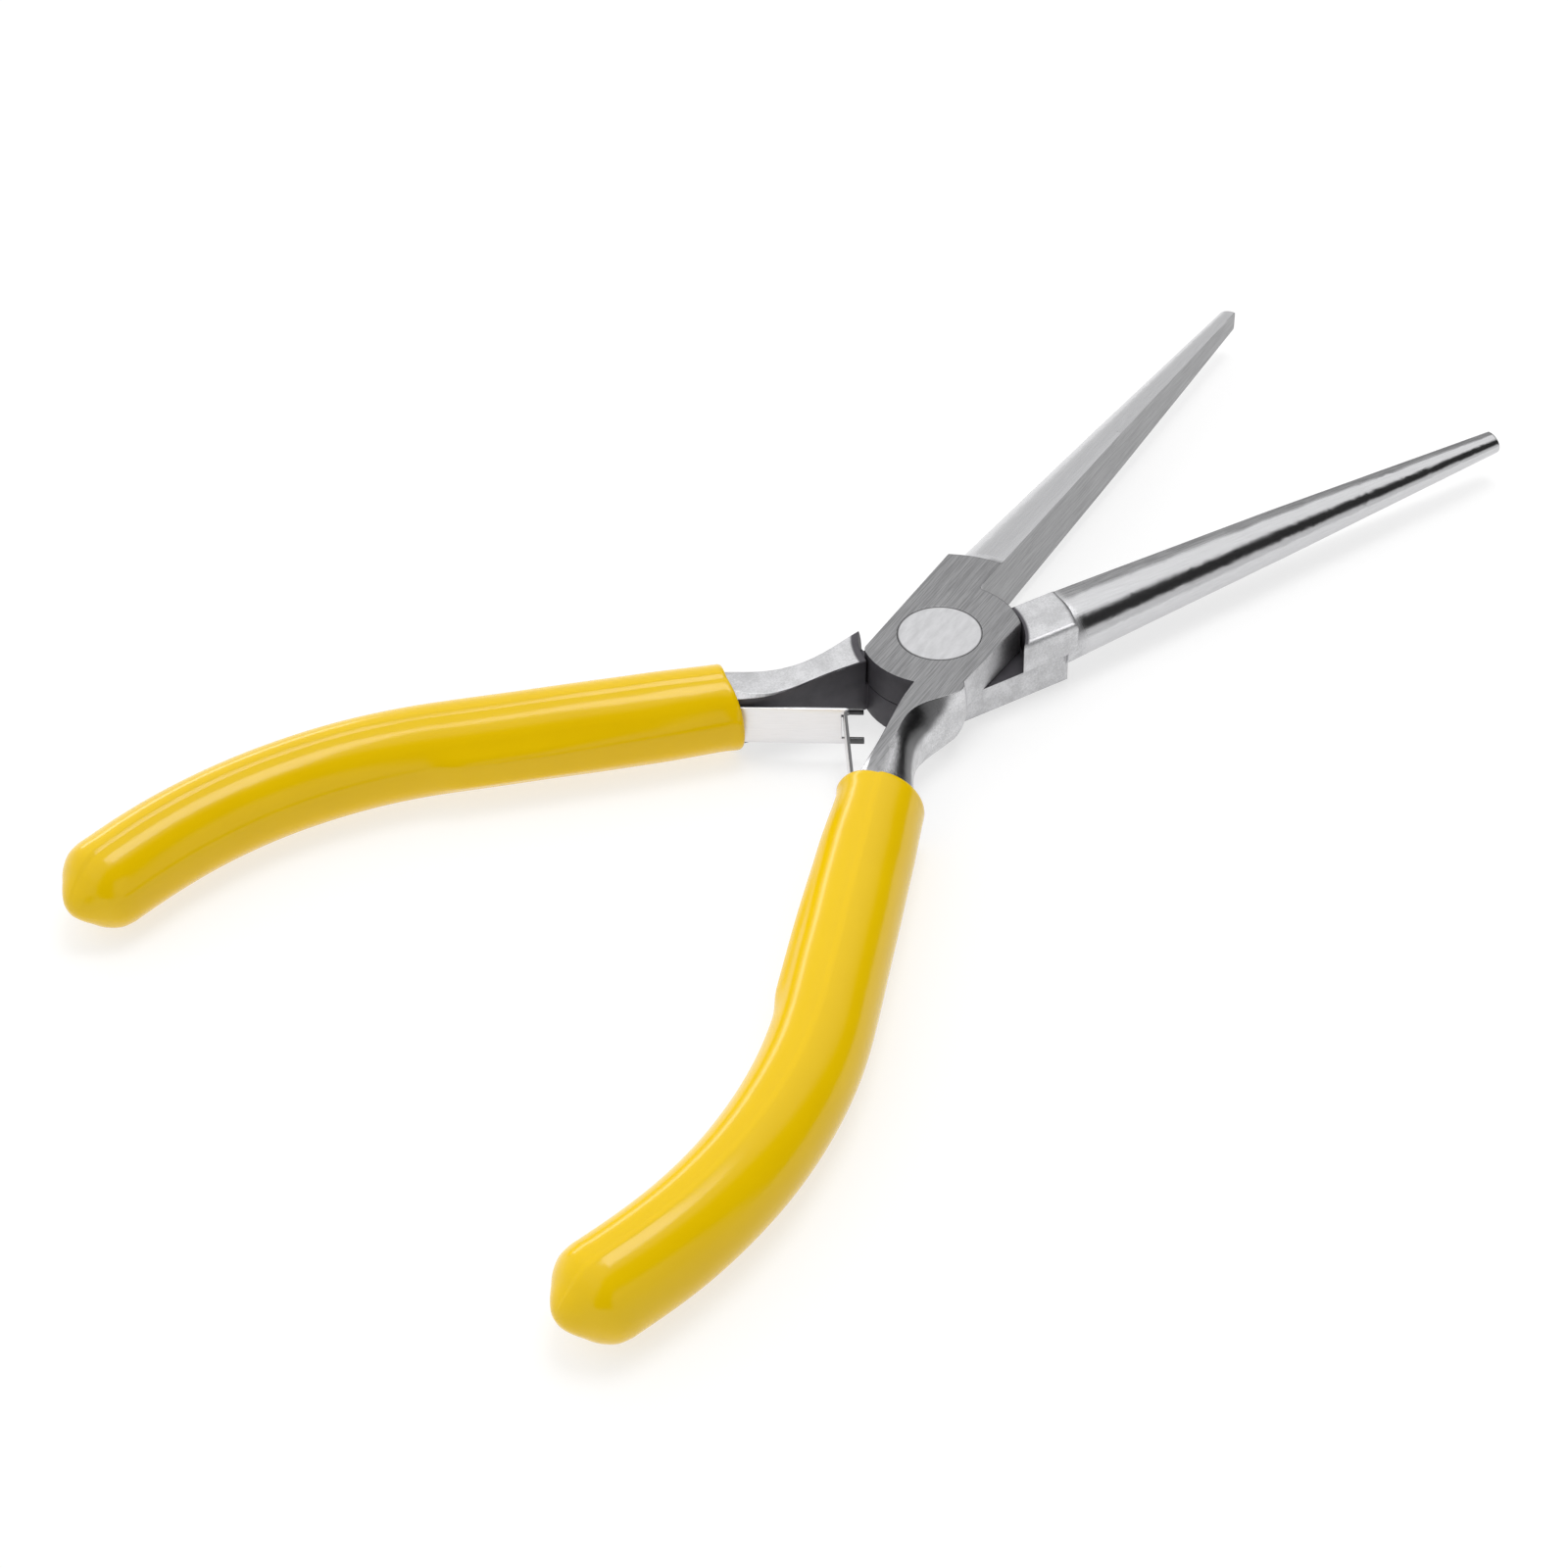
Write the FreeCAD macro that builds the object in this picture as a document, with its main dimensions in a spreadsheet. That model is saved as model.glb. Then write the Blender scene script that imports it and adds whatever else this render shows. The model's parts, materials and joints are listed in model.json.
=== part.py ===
import FreeCAD, Part
import math
import os
import Sketcher

# Needle nose pliers, 150 mm long when closed, with two riveted leaf springs in the handles.
# One forged half serves twice: the lower half is the upper half turned over about the long axis.
# Each half is drawn closed, in its own frame: jaw along +X, gripping face just above y = 0,
# handle towards -X and -Y, pivot on the Z axis, lap plane at z = 0.
# In the assembly z = 0 is the ground underside of the joint, and both halves stand half open.

MM_DIMS = [
    # joint: two half-thickness ears lapped on one rivet
    ("half_thickness", 3.5),
    ("recess_side_height", 3.1),
    ("lap_gap", 0.1),
    ("face_gap", 0.03),
    ("ear_radius", 7.85),
    ("ear_back_radius", 7.5),
    ("recess_radius", 8.1),
    ("recess_back_radius", 7.75),
    ("ear_outer", 5.2),
    ("ear_side", 5.95),
    ("shoulder_outer", 5.6),
    ("front_radius", 12.4),
    ("shoulder_front_radius", 13.3),
    ("jaw_foot_fillet", 0.5),
    ("ear_heel_fillet", 1.0),
    ("shoulder_fillet", 0.6),
    # jaws: slender, oval in section, flat along the gripping face: place, centre, half axes
    ("jaw_root_x", 11.0), ("jaw_root_centre", 0.6), ("jaw_root_lift", 0.15),
    ("jaw_root_wide", 5.05), ("jaw_root_high", 3.25),
    ("jaw_middle_x", 39.0), ("jaw_middle_centre", 0.5), ("jaw_middle_lift", 0.08),
    ("jaw_middle_wide", 3.33), ("jaw_middle_high", 2.4),
    ("jaw_tip_x", 67.4), ("jaw_tip_centre", 0.4), ("jaw_tip_lift", 0.02),
    ("jaw_tip_wide", 1.5), ("jaw_tip_high", 1.1),
    ("jaw_tip_fillet", 0.25),
    # pivot rivet, its heads flush with both ground faces
    ("rivet_head_radius", 4.02),
    ("rivet_head_depth", 1.3),
    ("rivet_shank_radius", 2.3),
    ("rivet_clearance", 0.04),
    # shank stations between the joint and the grip: place, outermost, then inner wall and edge of
    # the flat on the ear's side (over) and on the recess's side (under)
    ("waist_a_x", 5.2), ("waist_a_outer", 5.75),
    ("waist_a_inner_over", 1.15), ("waist_a_flat_over", 5.4),
    ("waist_a_inner_under", 0.6), ("waist_a_flat_under", 5.0),
    ("waist_b_x", 7.3), ("waist_b_outer", 5.8),
    ("waist_b_inner_over", 1.25), ("waist_b_flat_over", 5.3),
    ("waist_b_inner_under", 0.65), ("waist_b_flat_under", 4.6),
    ("waist_c_x", 9.4), ("waist_c_outer", 5.2),
    ("waist_c_inner_over", 1.4), ("waist_c_flat_over", 3.75),
    ("waist_c_inner_under", 0.85), ("waist_c_flat_under", 4.1),
    ("waist_d_x", 12.4), ("waist_d_outer", 4.95),
    ("waist_d_inner_over", 1.85), ("waist_d_flat_over", 3.05),
    ("waist_d_inner_under", 0.95), ("waist_d_flat_under", 3.7),
    ("waist_e_x", 16.0), ("waist_e_outer", 6.1),
    ("waist_e_inner_over", 2.5), ("waist_e_flat_over", 3.6),
    ("waist_e_inner_under", 0.95), ("waist_e_flat_under", 4.2),
    ("shank_chamfer", 0.12),
    # handle centreline: straight, one large arc inwards, a short straight end
    ("handle_x", 20.5),
    ("handle_y", 4.97),
    ("handle_straight", 26.9),
    ("handle_radius", 46.1),
    ("handle_end", 2.4),
    ("tang_inner", 2.1),
    ("tang_corner", 1.1),
    ("tang_chamfer", 0.52),
    ("tang_flat", 1.0),
    ("tang_height", 3.3),
    ("tang_outer", 3.4),
    # slip-on plastic grips
    ("grip_radius", 4.2),
    ("grip_bore", 3.5),
    ("grip_mouth", 0.2),
    ("bulge_height", 4.55),
    ("bulge_shoulder", 3.5),
    ("bulge_half_width", 2.7),
    ("bulge_length", 29.5),
    ("cap_depth", 2.7),
    ("nub_radius", 2.3),
    ("nub_length", 4.4),
    # leaf springs, bent outwards from the mouth of each grip until they cross
    ("leaf_thickness", 0.3),
    ("leaf_width", 4.2),
    ("leaf_tail", 26.4),
    ("leaf_bend_radius", 16.0),
    ("leaf_bend_start", 2.2),
    ("leaf_free", 10.7),
    ("tongue_set_back", 0.45),
    ("tongue_reach", 0.8),
    ("tongue_width", 2.3),
    ("slot_width", 2.9),
    ("slot_set_back", 0.35),
    ("spring_rivet_place", 22.0),
    ("spring_rivet_radius", 0.7),
    ("spring_rivet_head_radius", 1.3),
    ("spring_rivet_head_depth", 0.5),
    ("spring_rivet_length", 2.6),
]
ANGLE_DIMS = [
    ("half_opening", 14.35),
    ("handle_slope", 20.06),
    ("handle_turn", 39.0),
    ("leaf_bend", 14.0),
]
STATIONS = ("a", "b", "c", "d", "e")
NEAR = 0.01

doc = FreeCAD.newDocument("pliers")
dims = doc.addObject("Spreadsheet::Sheet", "dims")
for row, (alias, number) in enumerate(MM_DIMS + ANGLE_DIMS, start=1):
    dims.set("A%d" % row, alias)
    dims.set("B%d" % row, str(number))
    dims.setAlias("B%d" % row, alias)
doc.recompute()


def size(alias):
    return float(dims.get(alias))


def plane_of(body, role):
    return [f for f in body.Origin.OriginFeatures if f.Role == role][0]


def new_body(label):
    body = doc.addObject("PartDesign::Body", label)
    body.Label = label
    return body


def new_sketch(body, role, name):
    sketch = body.newObject("Sketcher::SketchObject", name)
    sketch.AttachmentSupport = [(plane_of(body, role), "")]
    sketch.MapMode = "FlatFace"
    return sketch


def lift(sketch, expression):
    """Move a sketch along its own normal by a sheet expression."""
    sketch.setExpression("AttachmentOffset.Base.z", expression)


def bind(sketch, constraint, expression):
    """Add a dimension that already holds, then drive it from the sheet."""
    index = sketch.addConstraint(constraint)
    sketch.setExpression("Constraints[%d]" % index, expression)
    return index


def vertex_at(sketch, geo, pos, x_value, x_expression, y_value, y_expression):
    """Hold a vertex at a place worked out from the sheet."""
    bind(sketch, Sketcher.Constraint("DistanceX", -1, 1, geo, pos, x_value), x_expression)
    bind(sketch, Sketcher.Constraint("DistanceY", -1, 1, geo, pos, y_value), y_expression)


def closed_outline(sketch, start, steps):
    """Lines and three-point arcs, joined end to end: a step is (end,) or (middle, end)."""
    first = sketch.GeometryCount
    here = FreeCAD.Vector(start[0], start[1], 0)
    ends = []
    for step in steps:
        end = FreeCAD.Vector(step[-1][0], step[-1][1], 0)
        if len(step) == 1:
            sketch.addGeometry(Part.LineSegment(here, end), False)
            ends.append((1, 2))
        else:
            middle = FreeCAD.Vector(step[0][0], step[0][1], 0)
            arc = Part.Arc(here, middle, end)
            sketch.addGeometry(arc, False)
            turn = (middle - here).cross(end - middle).z
            ends.append((1, 2) if turn > 0 else (2, 1))
        here = end
    count = len(steps)
    for i in range(count):
        after = (i + 1) % count
        sketch.addConstraint(Sketcher.Constraint(
            "Coincident", first + i, ends[i][1], first + after, ends[after][0]))
    return first


def circle(sketch, centre, radius, expression):
    geo = sketch.addGeometry(
        Part.Circle(FreeCAD.Vector(centre[0], centre[1], 0), FreeCAD.Vector(0, 0, 1), radius), False)
    bind(sketch, Sketcher.Constraint("Radius", geo, radius), expression)
    return geo


def feature(body, kind, name, sketch):
    item = body.newObject(kind, name)
    item.Profile = sketch
    return item


def round_edges(body, name, base, radius, wanted):
    """Fillet the edges of the base feature whose middle passes the wanted test."""
    edges = []
    for number, edge in enumerate(base.Shape.Edges, start=1):
        middle = edge.valueAt((edge.FirstParameter + edge.LastParameter) / 2)
        if wanted(middle):
            edges.append("Edge%d" % number)
    fillet = body.newObject("PartDesign::Fillet", name)
    fillet.Base = (base, edges)
    fillet.setExpression("Radius", radius)
    return fillet


def on_circle(radius, y):
    """x on the +X side of a circle about the pivot, at this y."""
    return math.sqrt(radius * radius - y * y)


def polar(radius, degrees):
    a = math.radians(degrees)
    return (radius * math.cos(a), radius * math.sin(a))


def bearing(point):
    return math.degrees(math.atan2(point[1], point[0]))


def arc_middle(radius, a, b):
    return polar(radius, (bearing(a) + bearing(b)) / 2)


# ---- the handle's centreline, shared by tang, grip and spring ----

SLOPE = math.radians(size("handle_slope"))
TURN = math.radians(size("handle_turn"))
ALONG = FreeCAD.Vector(-math.cos(SLOPE), -math.sin(SLOPE), 0)
INWARD = FreeCAD.Vector(-math.sin(SLOPE), math.cos(SLOPE), 0)
HANDLE_START = FreeCAD.Vector(-size("handle_x"), -size("handle_y"), 0)


def on_handle(along, inward=0.0):
    return HANDLE_START + ALONG * along + INWARD * inward


def bend_point(turn):
    centre = on_handle(size("handle_straight"), size("handle_radius"))
    return centre + (ALONG * math.sin(turn) - INWARD * math.cos(turn)) * size("handle_radius")


END_WAY = ALONG * math.cos(TURN) + INWARD * math.sin(TURN)


def handle_path(body, name, first_along, end_cut):
    """Straight, arc, straight; it starts first_along past the grip's mouth."""
    path = new_sketch(body, "XY_Plane", name)
    start = on_handle(first_along)
    p1 = bend_point(0)
    p2 = bend_point(TURN)
    p3 = p2 + END_WAY * (size("handle_end") - end_cut)
    path.addGeometry(Part.LineSegment(start, p1), False)
    path.addGeometry(Part.Arc(p1, bend_point(TURN / 2), p2), False)
    path.addConstraint(Sketcher.Constraint("Coincident", 0, 2, 1, 2))
    radius = Sketcher.Constraint("Radius", 1, size("handle_radius"))
    bind(path, radius, "dims.handle_radius")
    if end_cut < size("handle_end"):
        path.addGeometry(Part.LineSegment(p2, p3), False)
        path.addConstraint(Sketcher.Constraint("Coincident", 1, 1, 2, 1))
    return path


def across_handle(body, name, along, inward=0.0):
    """A sketch square to the handle's straight part: x points inward, y up."""
    sketch = new_sketch(body, "YZ_Plane", name)
    place = on_handle(along, inward)
    turned = FreeCAD.Rotation(FreeCAD.Vector(0, 1, 0), size("handle_slope"))
    sketch.AttachmentOffset = FreeCAD.Placement(FreeCAD.Vector(place.y, 0, place.x), turned)
    sketch.setExpression("AttachmentOffset.Rotation.Angle", "dims.handle_slope")
    return sketch


# ---- forged half ----

def add_ear_block(body):
    """Upper half-thickness: ear round the pivot, jaw root with a rounded front."""
    sketch = new_sketch(body, "XY_Plane", "ear_outline")
    lift(sketch, "dims.lap_gap / 2")
    gap, outer, side = size("face_gap"), size("ear_outer"), size("ear_side")
    ear, back, front = size("ear_radius"), size("ear_back_radius"), size("front_radius")
    foot = (on_circle(ear, gap), gap)
    front_low = (on_circle(front, gap), gap)
    front_high = (on_circle(front, outer), outer)
    back_high = (-on_circle(back, outer), outer)
    notch = (-on_circle(back, size("waist_b_inner_over")), -size("waist_b_inner_over"))
    side_back = (-size("waist_b_x"), -size("waist_b_flat_over"))
    side_front = (on_circle(ear, side), -side)
    first = closed_outline(sketch, foot, [
        (front_low,),
        (arc_middle(front, front_low, front_high), front_high),
        (back_high,),
        (polar(back, (bearing(back_high) + 360 + bearing(notch)) / 2), notch),
        (side_back,),
        (side_front,),
        (arc_middle(ear, side_front, foot), foot),
    ])
    for arc, radius in ((1, "front_radius"), (3, "ear_back_radius"), (6, "ear_radius")):
        sketch.addConstraint(Sketcher.Constraint("Coincident", first + arc, 3, -1, 1))
        bind(sketch, Sketcher.Constraint("Radius", first + arc, size(radius)), "dims." + radius)
    sketch.addConstraint(Sketcher.Constraint("Horizontal", first))
    sketch.addConstraint(Sketcher.Constraint("Horizontal", first + 2))
    bind(sketch, Sketcher.Constraint("DistanceY", -1, 1, first, 1, gap), "dims.face_gap")
    bind(sketch, Sketcher.Constraint("DistanceY", -1, 1, first + 2, 1, outer), "dims.ear_outer")
    bind(sketch, Sketcher.Constraint("DistanceY", first + 5, 2, -1, 1, side), "dims.ear_side")
    pad = feature(body, "PartDesign::Pad", "ear_block", sketch)
    pad.setExpression("Length", "dims.half_thickness - dims.lap_gap / 2")
    doc.recompute()
    middle_height = size("lap_gap") / 2 + pad.Length.Value / 2

    def upright_at(point):
        corner = FreeCAD.Vector(point[0], point[1], middle_height)
        return lambda middle: middle.distanceToPoint(corner) < NEAR

    heel = round_edges(body, "ear_heel", pad, "dims.ear_heel_fillet", upright_at(back_high))
    doc.recompute()
    round_edges(body, "jaw_foot", heel, "dims.jaw_foot_fillet", upright_at(foot))


def add_shoulder_block(body):
    """Lower half-thickness at the jaw root, beyond the recess."""
    sketch = new_sketch(body, "XY_Plane", "shoulder_outline")
    lift(sketch, "dims.lap_gap")
    gap, outer, front = size("face_gap"), size("shoulder_outer"), size("shoulder_front_radius")
    front_low = (on_circle(front, gap), gap)
    front_high = (on_circle(front, outer), outer)
    first = closed_outline(sketch, (0, gap), [
        (front_low,),
        (arc_middle(front, front_low, front_high), front_high),
        ((0, outer),),
        ((0, gap),),
    ])
    sketch.addConstraint(Sketcher.Constraint("Coincident", first + 1, 3, -1, 1))
    bind(sketch, Sketcher.Constraint("Radius", first + 1, front), "dims.shoulder_front_radius")
    sketch.addConstraint(Sketcher.Constraint("Horizontal", first))
    sketch.addConstraint(Sketcher.Constraint("Horizontal", first + 2))
    sketch.addConstraint(Sketcher.Constraint("PointOnObject", first + 3, 1, -2))
    sketch.addConstraint(Sketcher.Constraint("PointOnObject", first + 3, 2, -2))
    bind(sketch, Sketcher.Constraint("DistanceY", -1, 1, first, 1, gap), "dims.face_gap")
    bind(sketch, Sketcher.Constraint("DistanceY", -1, 1, first + 2, 2, outer), "dims.shoulder_outer")
    pad = feature(body, "PartDesign::Pad", "shoulder_block", sketch)
    pad.Reversed = True
    pad.setExpression("Length", "dims.recess_side_height + dims.lap_gap")
    doc.recompute()
    ground = -size("recess_side_height")
    before_front = size("jaw_root_x")
    round_edges(body, "shoulder_rim", pad, "dims.shoulder_fillet", lambda middle: (
        abs(middle.z - ground) < NEAR and (middle.y > outer - NEAR or middle.x > before_front)))


def jaw_section(body, end):
    """An oval cut flat along the gripping face."""
    sketch = new_sketch(body, "YZ_Plane", "jaw_%s_section" % end)
    stem = "dims.jaw_%s_" % end
    lift(sketch, stem + "x")
    gap, centre, rise, wide, high = [size(alias) for alias in ["face_gap"] + [
        "jaw_%s_%s" % (end, word) for word in ("centre", "lift", "wide", "high")]]
    middle = FreeCAD.Vector(centre, rise, 0)
    oval = Part.Ellipse(middle + FreeCAD.Vector(wide, 0, 0), middle + FreeCAD.Vector(0, high, 0), middle)
    cut = math.acos((gap - centre) / wide)
    face_high = rise + high * math.sin(cut)
    face_low = rise - high * math.sin(cut)
    back = sketch.addGeometry(Part.ArcOfEllipse(oval, -cut, cut), False)
    face = sketch.addGeometry(Part.LineSegment(
        FreeCAD.Vector(gap, face_high, 0), FreeCAD.Vector(gap, face_low, 0)), False)
    sketch.addConstraint(Sketcher.Constraint("Coincident", back, 2, face, 1))
    sketch.addConstraint(Sketcher.Constraint("Coincident", face, 2, back, 1))
    sketch.exposeInternalGeometry(back)
    long_axis = face + 1
    short_axis = face + 2
    sketch.addConstraint(Sketcher.Constraint("Horizontal", long_axis))
    sketch.addConstraint(Sketcher.Constraint("Vertical", face))
    vertex_at(sketch, back, 3, centre, stem + "centre", rise, stem + "lift")
    bind(sketch, Sketcher.Constraint("Distance", long_axis, 2 * wide), stem + "wide * 2")
    bind(sketch, Sketcher.Constraint("Distance", short_axis, 2 * high), stem + "high * 2")
    bind(sketch, Sketcher.Constraint("DistanceX", -1, 1, face, 1, gap), "dims.face_gap")
    return sketch


def add_jaw(body):
    sections = [jaw_section(body, end) for end in ("root", "middle", "tip")]
    jaw = add_loft(body, "jaw", sections)
    jaw.Ruled = True
    doc.recompute()
    tip = size("jaw_tip_x")
    round_edges(body, "jaw_tip", jaw, "dims.jaw_tip_fillet", lambda middle: (
        abs(middle.x - tip) < NEAR and middle.y > size("face_gap") + NEAR))


def add_loft(body, name, sections):
    loft = feature(body, "PartDesign::AdditiveLoft", name, sections[0])
    loft.Sections = sections[1:]
    return loft


def bar_outline(sketch, high, low, inner, flat, corner, outer):
    """Shank section: drafted inner wall, top and bottom flats, rounded outer side.

    inner and flat are pairs, over and under; corner is the (across, along) size of the chamfer."""
    return closed_outline(sketch, (inner[1], corner[1] - low), [
        ((inner[0], high - corner[1]),),
        ((inner[0] - corner[0], high),),
        ((flat[0], high),),
        ((outer, (high - low) / 2), (flat[1], -low)),
        ((inner[1] - corner[0], -low),),
        ((inner[1], corner[1] - low),),
    ])


def shank_section(body, station):
    stem = "waist_%s_" % station
    sketch = new_sketch(body, "YZ_Plane", stem + "section")
    lift(sketch, "-dims.%sx" % stem)
    inner = [-size(stem + "inner_" + side) for side in ("over", "under")]
    flat = [-size(stem + "flat_" + side) for side in ("over", "under")]
    high, low, chamfer = size("half_thickness"), size("recess_side_height"), size("shank_chamfer")
    first = bar_outline(sketch, high, low, inner, flat, (chamfer, chamfer), -size(stem + "outer"))
    level = {"over": (high, "dims.half_thickness"), "under": (-low, "-dims.recess_side_height")}
    wall = {"over": (high - chamfer, "dims.half_thickness - dims.shank_chamfer"),
            "under": (chamfer - low, "dims.shank_chamfer - dims.recess_side_height")}
    for side, line, y, (z, z_source) in (
            ("over", 0, inner[0], wall["over"]), ("under", 5, inner[1], wall["under"])):
        vertex_at(sketch, first + line, 2, y, "-dims.%sinner_%s" % (stem, side), z, z_source)
    for side, line, end, y in (("over", 1, 2, inner[0]), ("under", 4, 2, inner[1])):
        z, z_source = level[side]
        vertex_at(sketch, first + line, end, y - chamfer,
                  "-dims.%sinner_%s - dims.shank_chamfer" % (stem, side), z, z_source)
    for side, line, end, y in (("over", 2, 2, flat[0]), ("under", 4, 1, flat[1])):
        z, z_source = level[side]
        vertex_at(sketch, first + line, end, y, "-dims.%sflat_%s" % (stem, side), z, z_source)
    return sketch


def tang_section(body, name, along):
    sketch = across_handle(body, name, along)
    inner, flat, high = size("tang_inner"), -size("tang_flat"), size("tang_height")
    corner = (inner - size("tang_corner"), size("tang_chamfer"))
    first = bar_outline(sketch, high, high, (inner, inner), (flat, flat), corner, -size("tang_outer"))
    sketch.addConstraint(Sketcher.Constraint("Vertical", first))
    vertex_at(sketch, first, 2, inner, "dims.tang_inner",
              high - corner[1], "dims.tang_height - dims.tang_chamfer")
    vertex_at(sketch, first + 1, 2, size("tang_corner"), "dims.tang_corner", high, "dims.tang_height")
    vertex_at(sketch, first + 2, 2, flat, "-dims.tang_flat", high, "dims.tang_height")
    vertex_at(sketch, first + 4, 1, flat, "-dims.tang_flat", -high, "-dims.tang_height")
    return sketch


def add_tang(body):
    """The bar inside the grip, along the handle's centreline."""
    path = handle_path(body, "tang_path", 0.0, size("handle_end"))
    pipe = feature(body, "PartDesign::AdditivePipe", "tang", tang_section(body, "tang_profile", 0.0))
    pipe.Spine = (path, ["Edge1", "Edge2"])
    pipe.Mode = "Frenet"


def add_recess(body):
    """Round recess that lets the other half's ear turn, a little tighter behind the pivot."""
    sketch = new_sketch(body, "XY_Plane", "recess_outline")
    lift(sketch, "dims.lap_gap / 2")
    front, back = size("recess_radius"), size("recess_back_radius")
    first = closed_outline(sketch, (0, -front), [
        ((front, 0), (0, front)), ((0, back),), ((-back, 0), (0, -back)), ((0, -front),),
    ])
    for arc, radius, alias in ((0, front, "recess_radius"), (2, back, "recess_back_radius")):
        sketch.addConstraint(Sketcher.Constraint("Coincident", first + arc, 3, -1, 1))
        bind(sketch, Sketcher.Constraint("Radius", first + arc, radius), "dims." + alias)
    for line in (1, 3):
        sketch.addConstraint(Sketcher.Constraint("PointOnObject", first + line, 1, -2))
        sketch.addConstraint(Sketcher.Constraint("PointOnObject", first + line, 2, -2))
    pocket = feature(body, "PartDesign::Pocket", "ear_recess", sketch)
    pocket.Length = 2 * size("half_thickness")


def add_rivet_seat(body):
    """Through hole for the rivet's shank and a counterbore for its head."""
    for name, radius, depth in (
            ("rivet_hole", "rivet_shank_radius", "dims.half_thickness * 2"),
            ("rivet_counterbore", "rivet_head_radius", "dims.rivet_head_depth + dims.rivet_clearance")):
        sketch = new_sketch(body, "XY_Plane", name + "_outline")
        lift(sketch, "dims.half_thickness")
        fit = size(radius) + size("rivet_clearance")
        geo = circle(sketch, (0, 0), fit, "dims.%s + dims.rivet_clearance" % radius)
        sketch.addConstraint(Sketcher.Constraint("Coincident", geo, 3, -1, 1))
        pocket = feature(body, "PartDesign::Pocket", name, sketch)
        pocket.setExpression("Length", depth)


def rivet_place_sketch(body, name, inward):
    """A sketch facing the handle's inner side, at the spring's rivet."""
    sketch = new_sketch(body, "XZ_Plane", name)
    place = on_handle(size("spring_rivet_place"), inward)
    turned = FreeCAD.Rotation(FreeCAD.Vector(0, 1, 0), size("handle_slope"))
    sketch.AttachmentOffset = FreeCAD.Placement(FreeCAD.Vector(place.x, 0, -place.y), turned)
    sketch.setExpression("AttachmentOffset.Rotation.Angle", "dims.handle_slope")
    return sketch


def add_tang_hole(body):
    sketch = rivet_place_sketch(body, "tang_hole_outline", size("tang_inner"))
    circle(sketch, (0, 0), size("spring_rivet_radius"), "dims.spring_rivet_radius")
    pocket = feature(body, "PartDesign::Pocket", "tang_hole", sketch)
    pocket.Reversed = True
    pocket.setExpression("Length", "dims.spring_rivet_length")


def forged_half(label):
    body = new_body(label)
    add_ear_block(body)
    add_shoulder_block(body)
    sections = [shank_section(body, s) for s in STATIONS]
    sections.append(tang_section(body, "tang_start", 0.0))
    add_loft(body, "shank", sections)
    add_tang(body)
    add_jaw(body)
    doc.recompute()
    add_recess(body)
    add_rivet_seat(body)
    add_tang_hole(body)
    doc.recompute()
    return body


# ---- pivot rivet ----

def pivot_rivet():
    """A stepped pin with a flush head in each ear."""
    body = new_body("pivot_rivet")
    sketch = new_sketch(body, "XZ_Plane", "rivet_profile")
    top, head, shank = size("half_thickness"), size("rivet_head_radius"), size("rivet_shank_radius")
    under = top - size("rivet_head_depth")
    first = closed_outline(sketch, (0, -top), [
        ((head, -top),), ((head, -under),), ((shank, -under),), ((shank, under),),
        ((head, under),), ((head, top),), ((0, top),), ((0, -top),),
    ])
    corners = (
        (0, head, "dims.rivet_head_radius", -top, "-dims.half_thickness"),
        (1, head, "dims.rivet_head_radius", -under, "dims.rivet_head_depth - dims.half_thickness"),
        (2, shank, "dims.rivet_shank_radius", -under, "dims.rivet_head_depth - dims.half_thickness"),
        (3, shank, "dims.rivet_shank_radius", under, "dims.half_thickness - dims.rivet_head_depth"),
        (4, head, "dims.rivet_head_radius", under, "dims.half_thickness - dims.rivet_head_depth"),
        (5, head, "dims.rivet_head_radius", top, "dims.half_thickness"),
    )
    for line, x_value, x_expression, y_value, y_expression in corners:
        vertex_at(sketch, first + line, 2, x_value, x_expression, y_value, y_expression)
    sketch.addConstraint(Sketcher.Constraint("Vertical", first + 7))
    sketch.addConstraint(Sketcher.Constraint("PointOnObject", first + 7, 1, -2))
    turned = feature(body, "PartDesign::Revolution", "rivet", sketch)
    turned.ReferenceAxis = (sketch, ["V_Axis"])
    turned.Angle = 360
    doc.recompute()
    return body


# ---- slip-on grip ----

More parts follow.
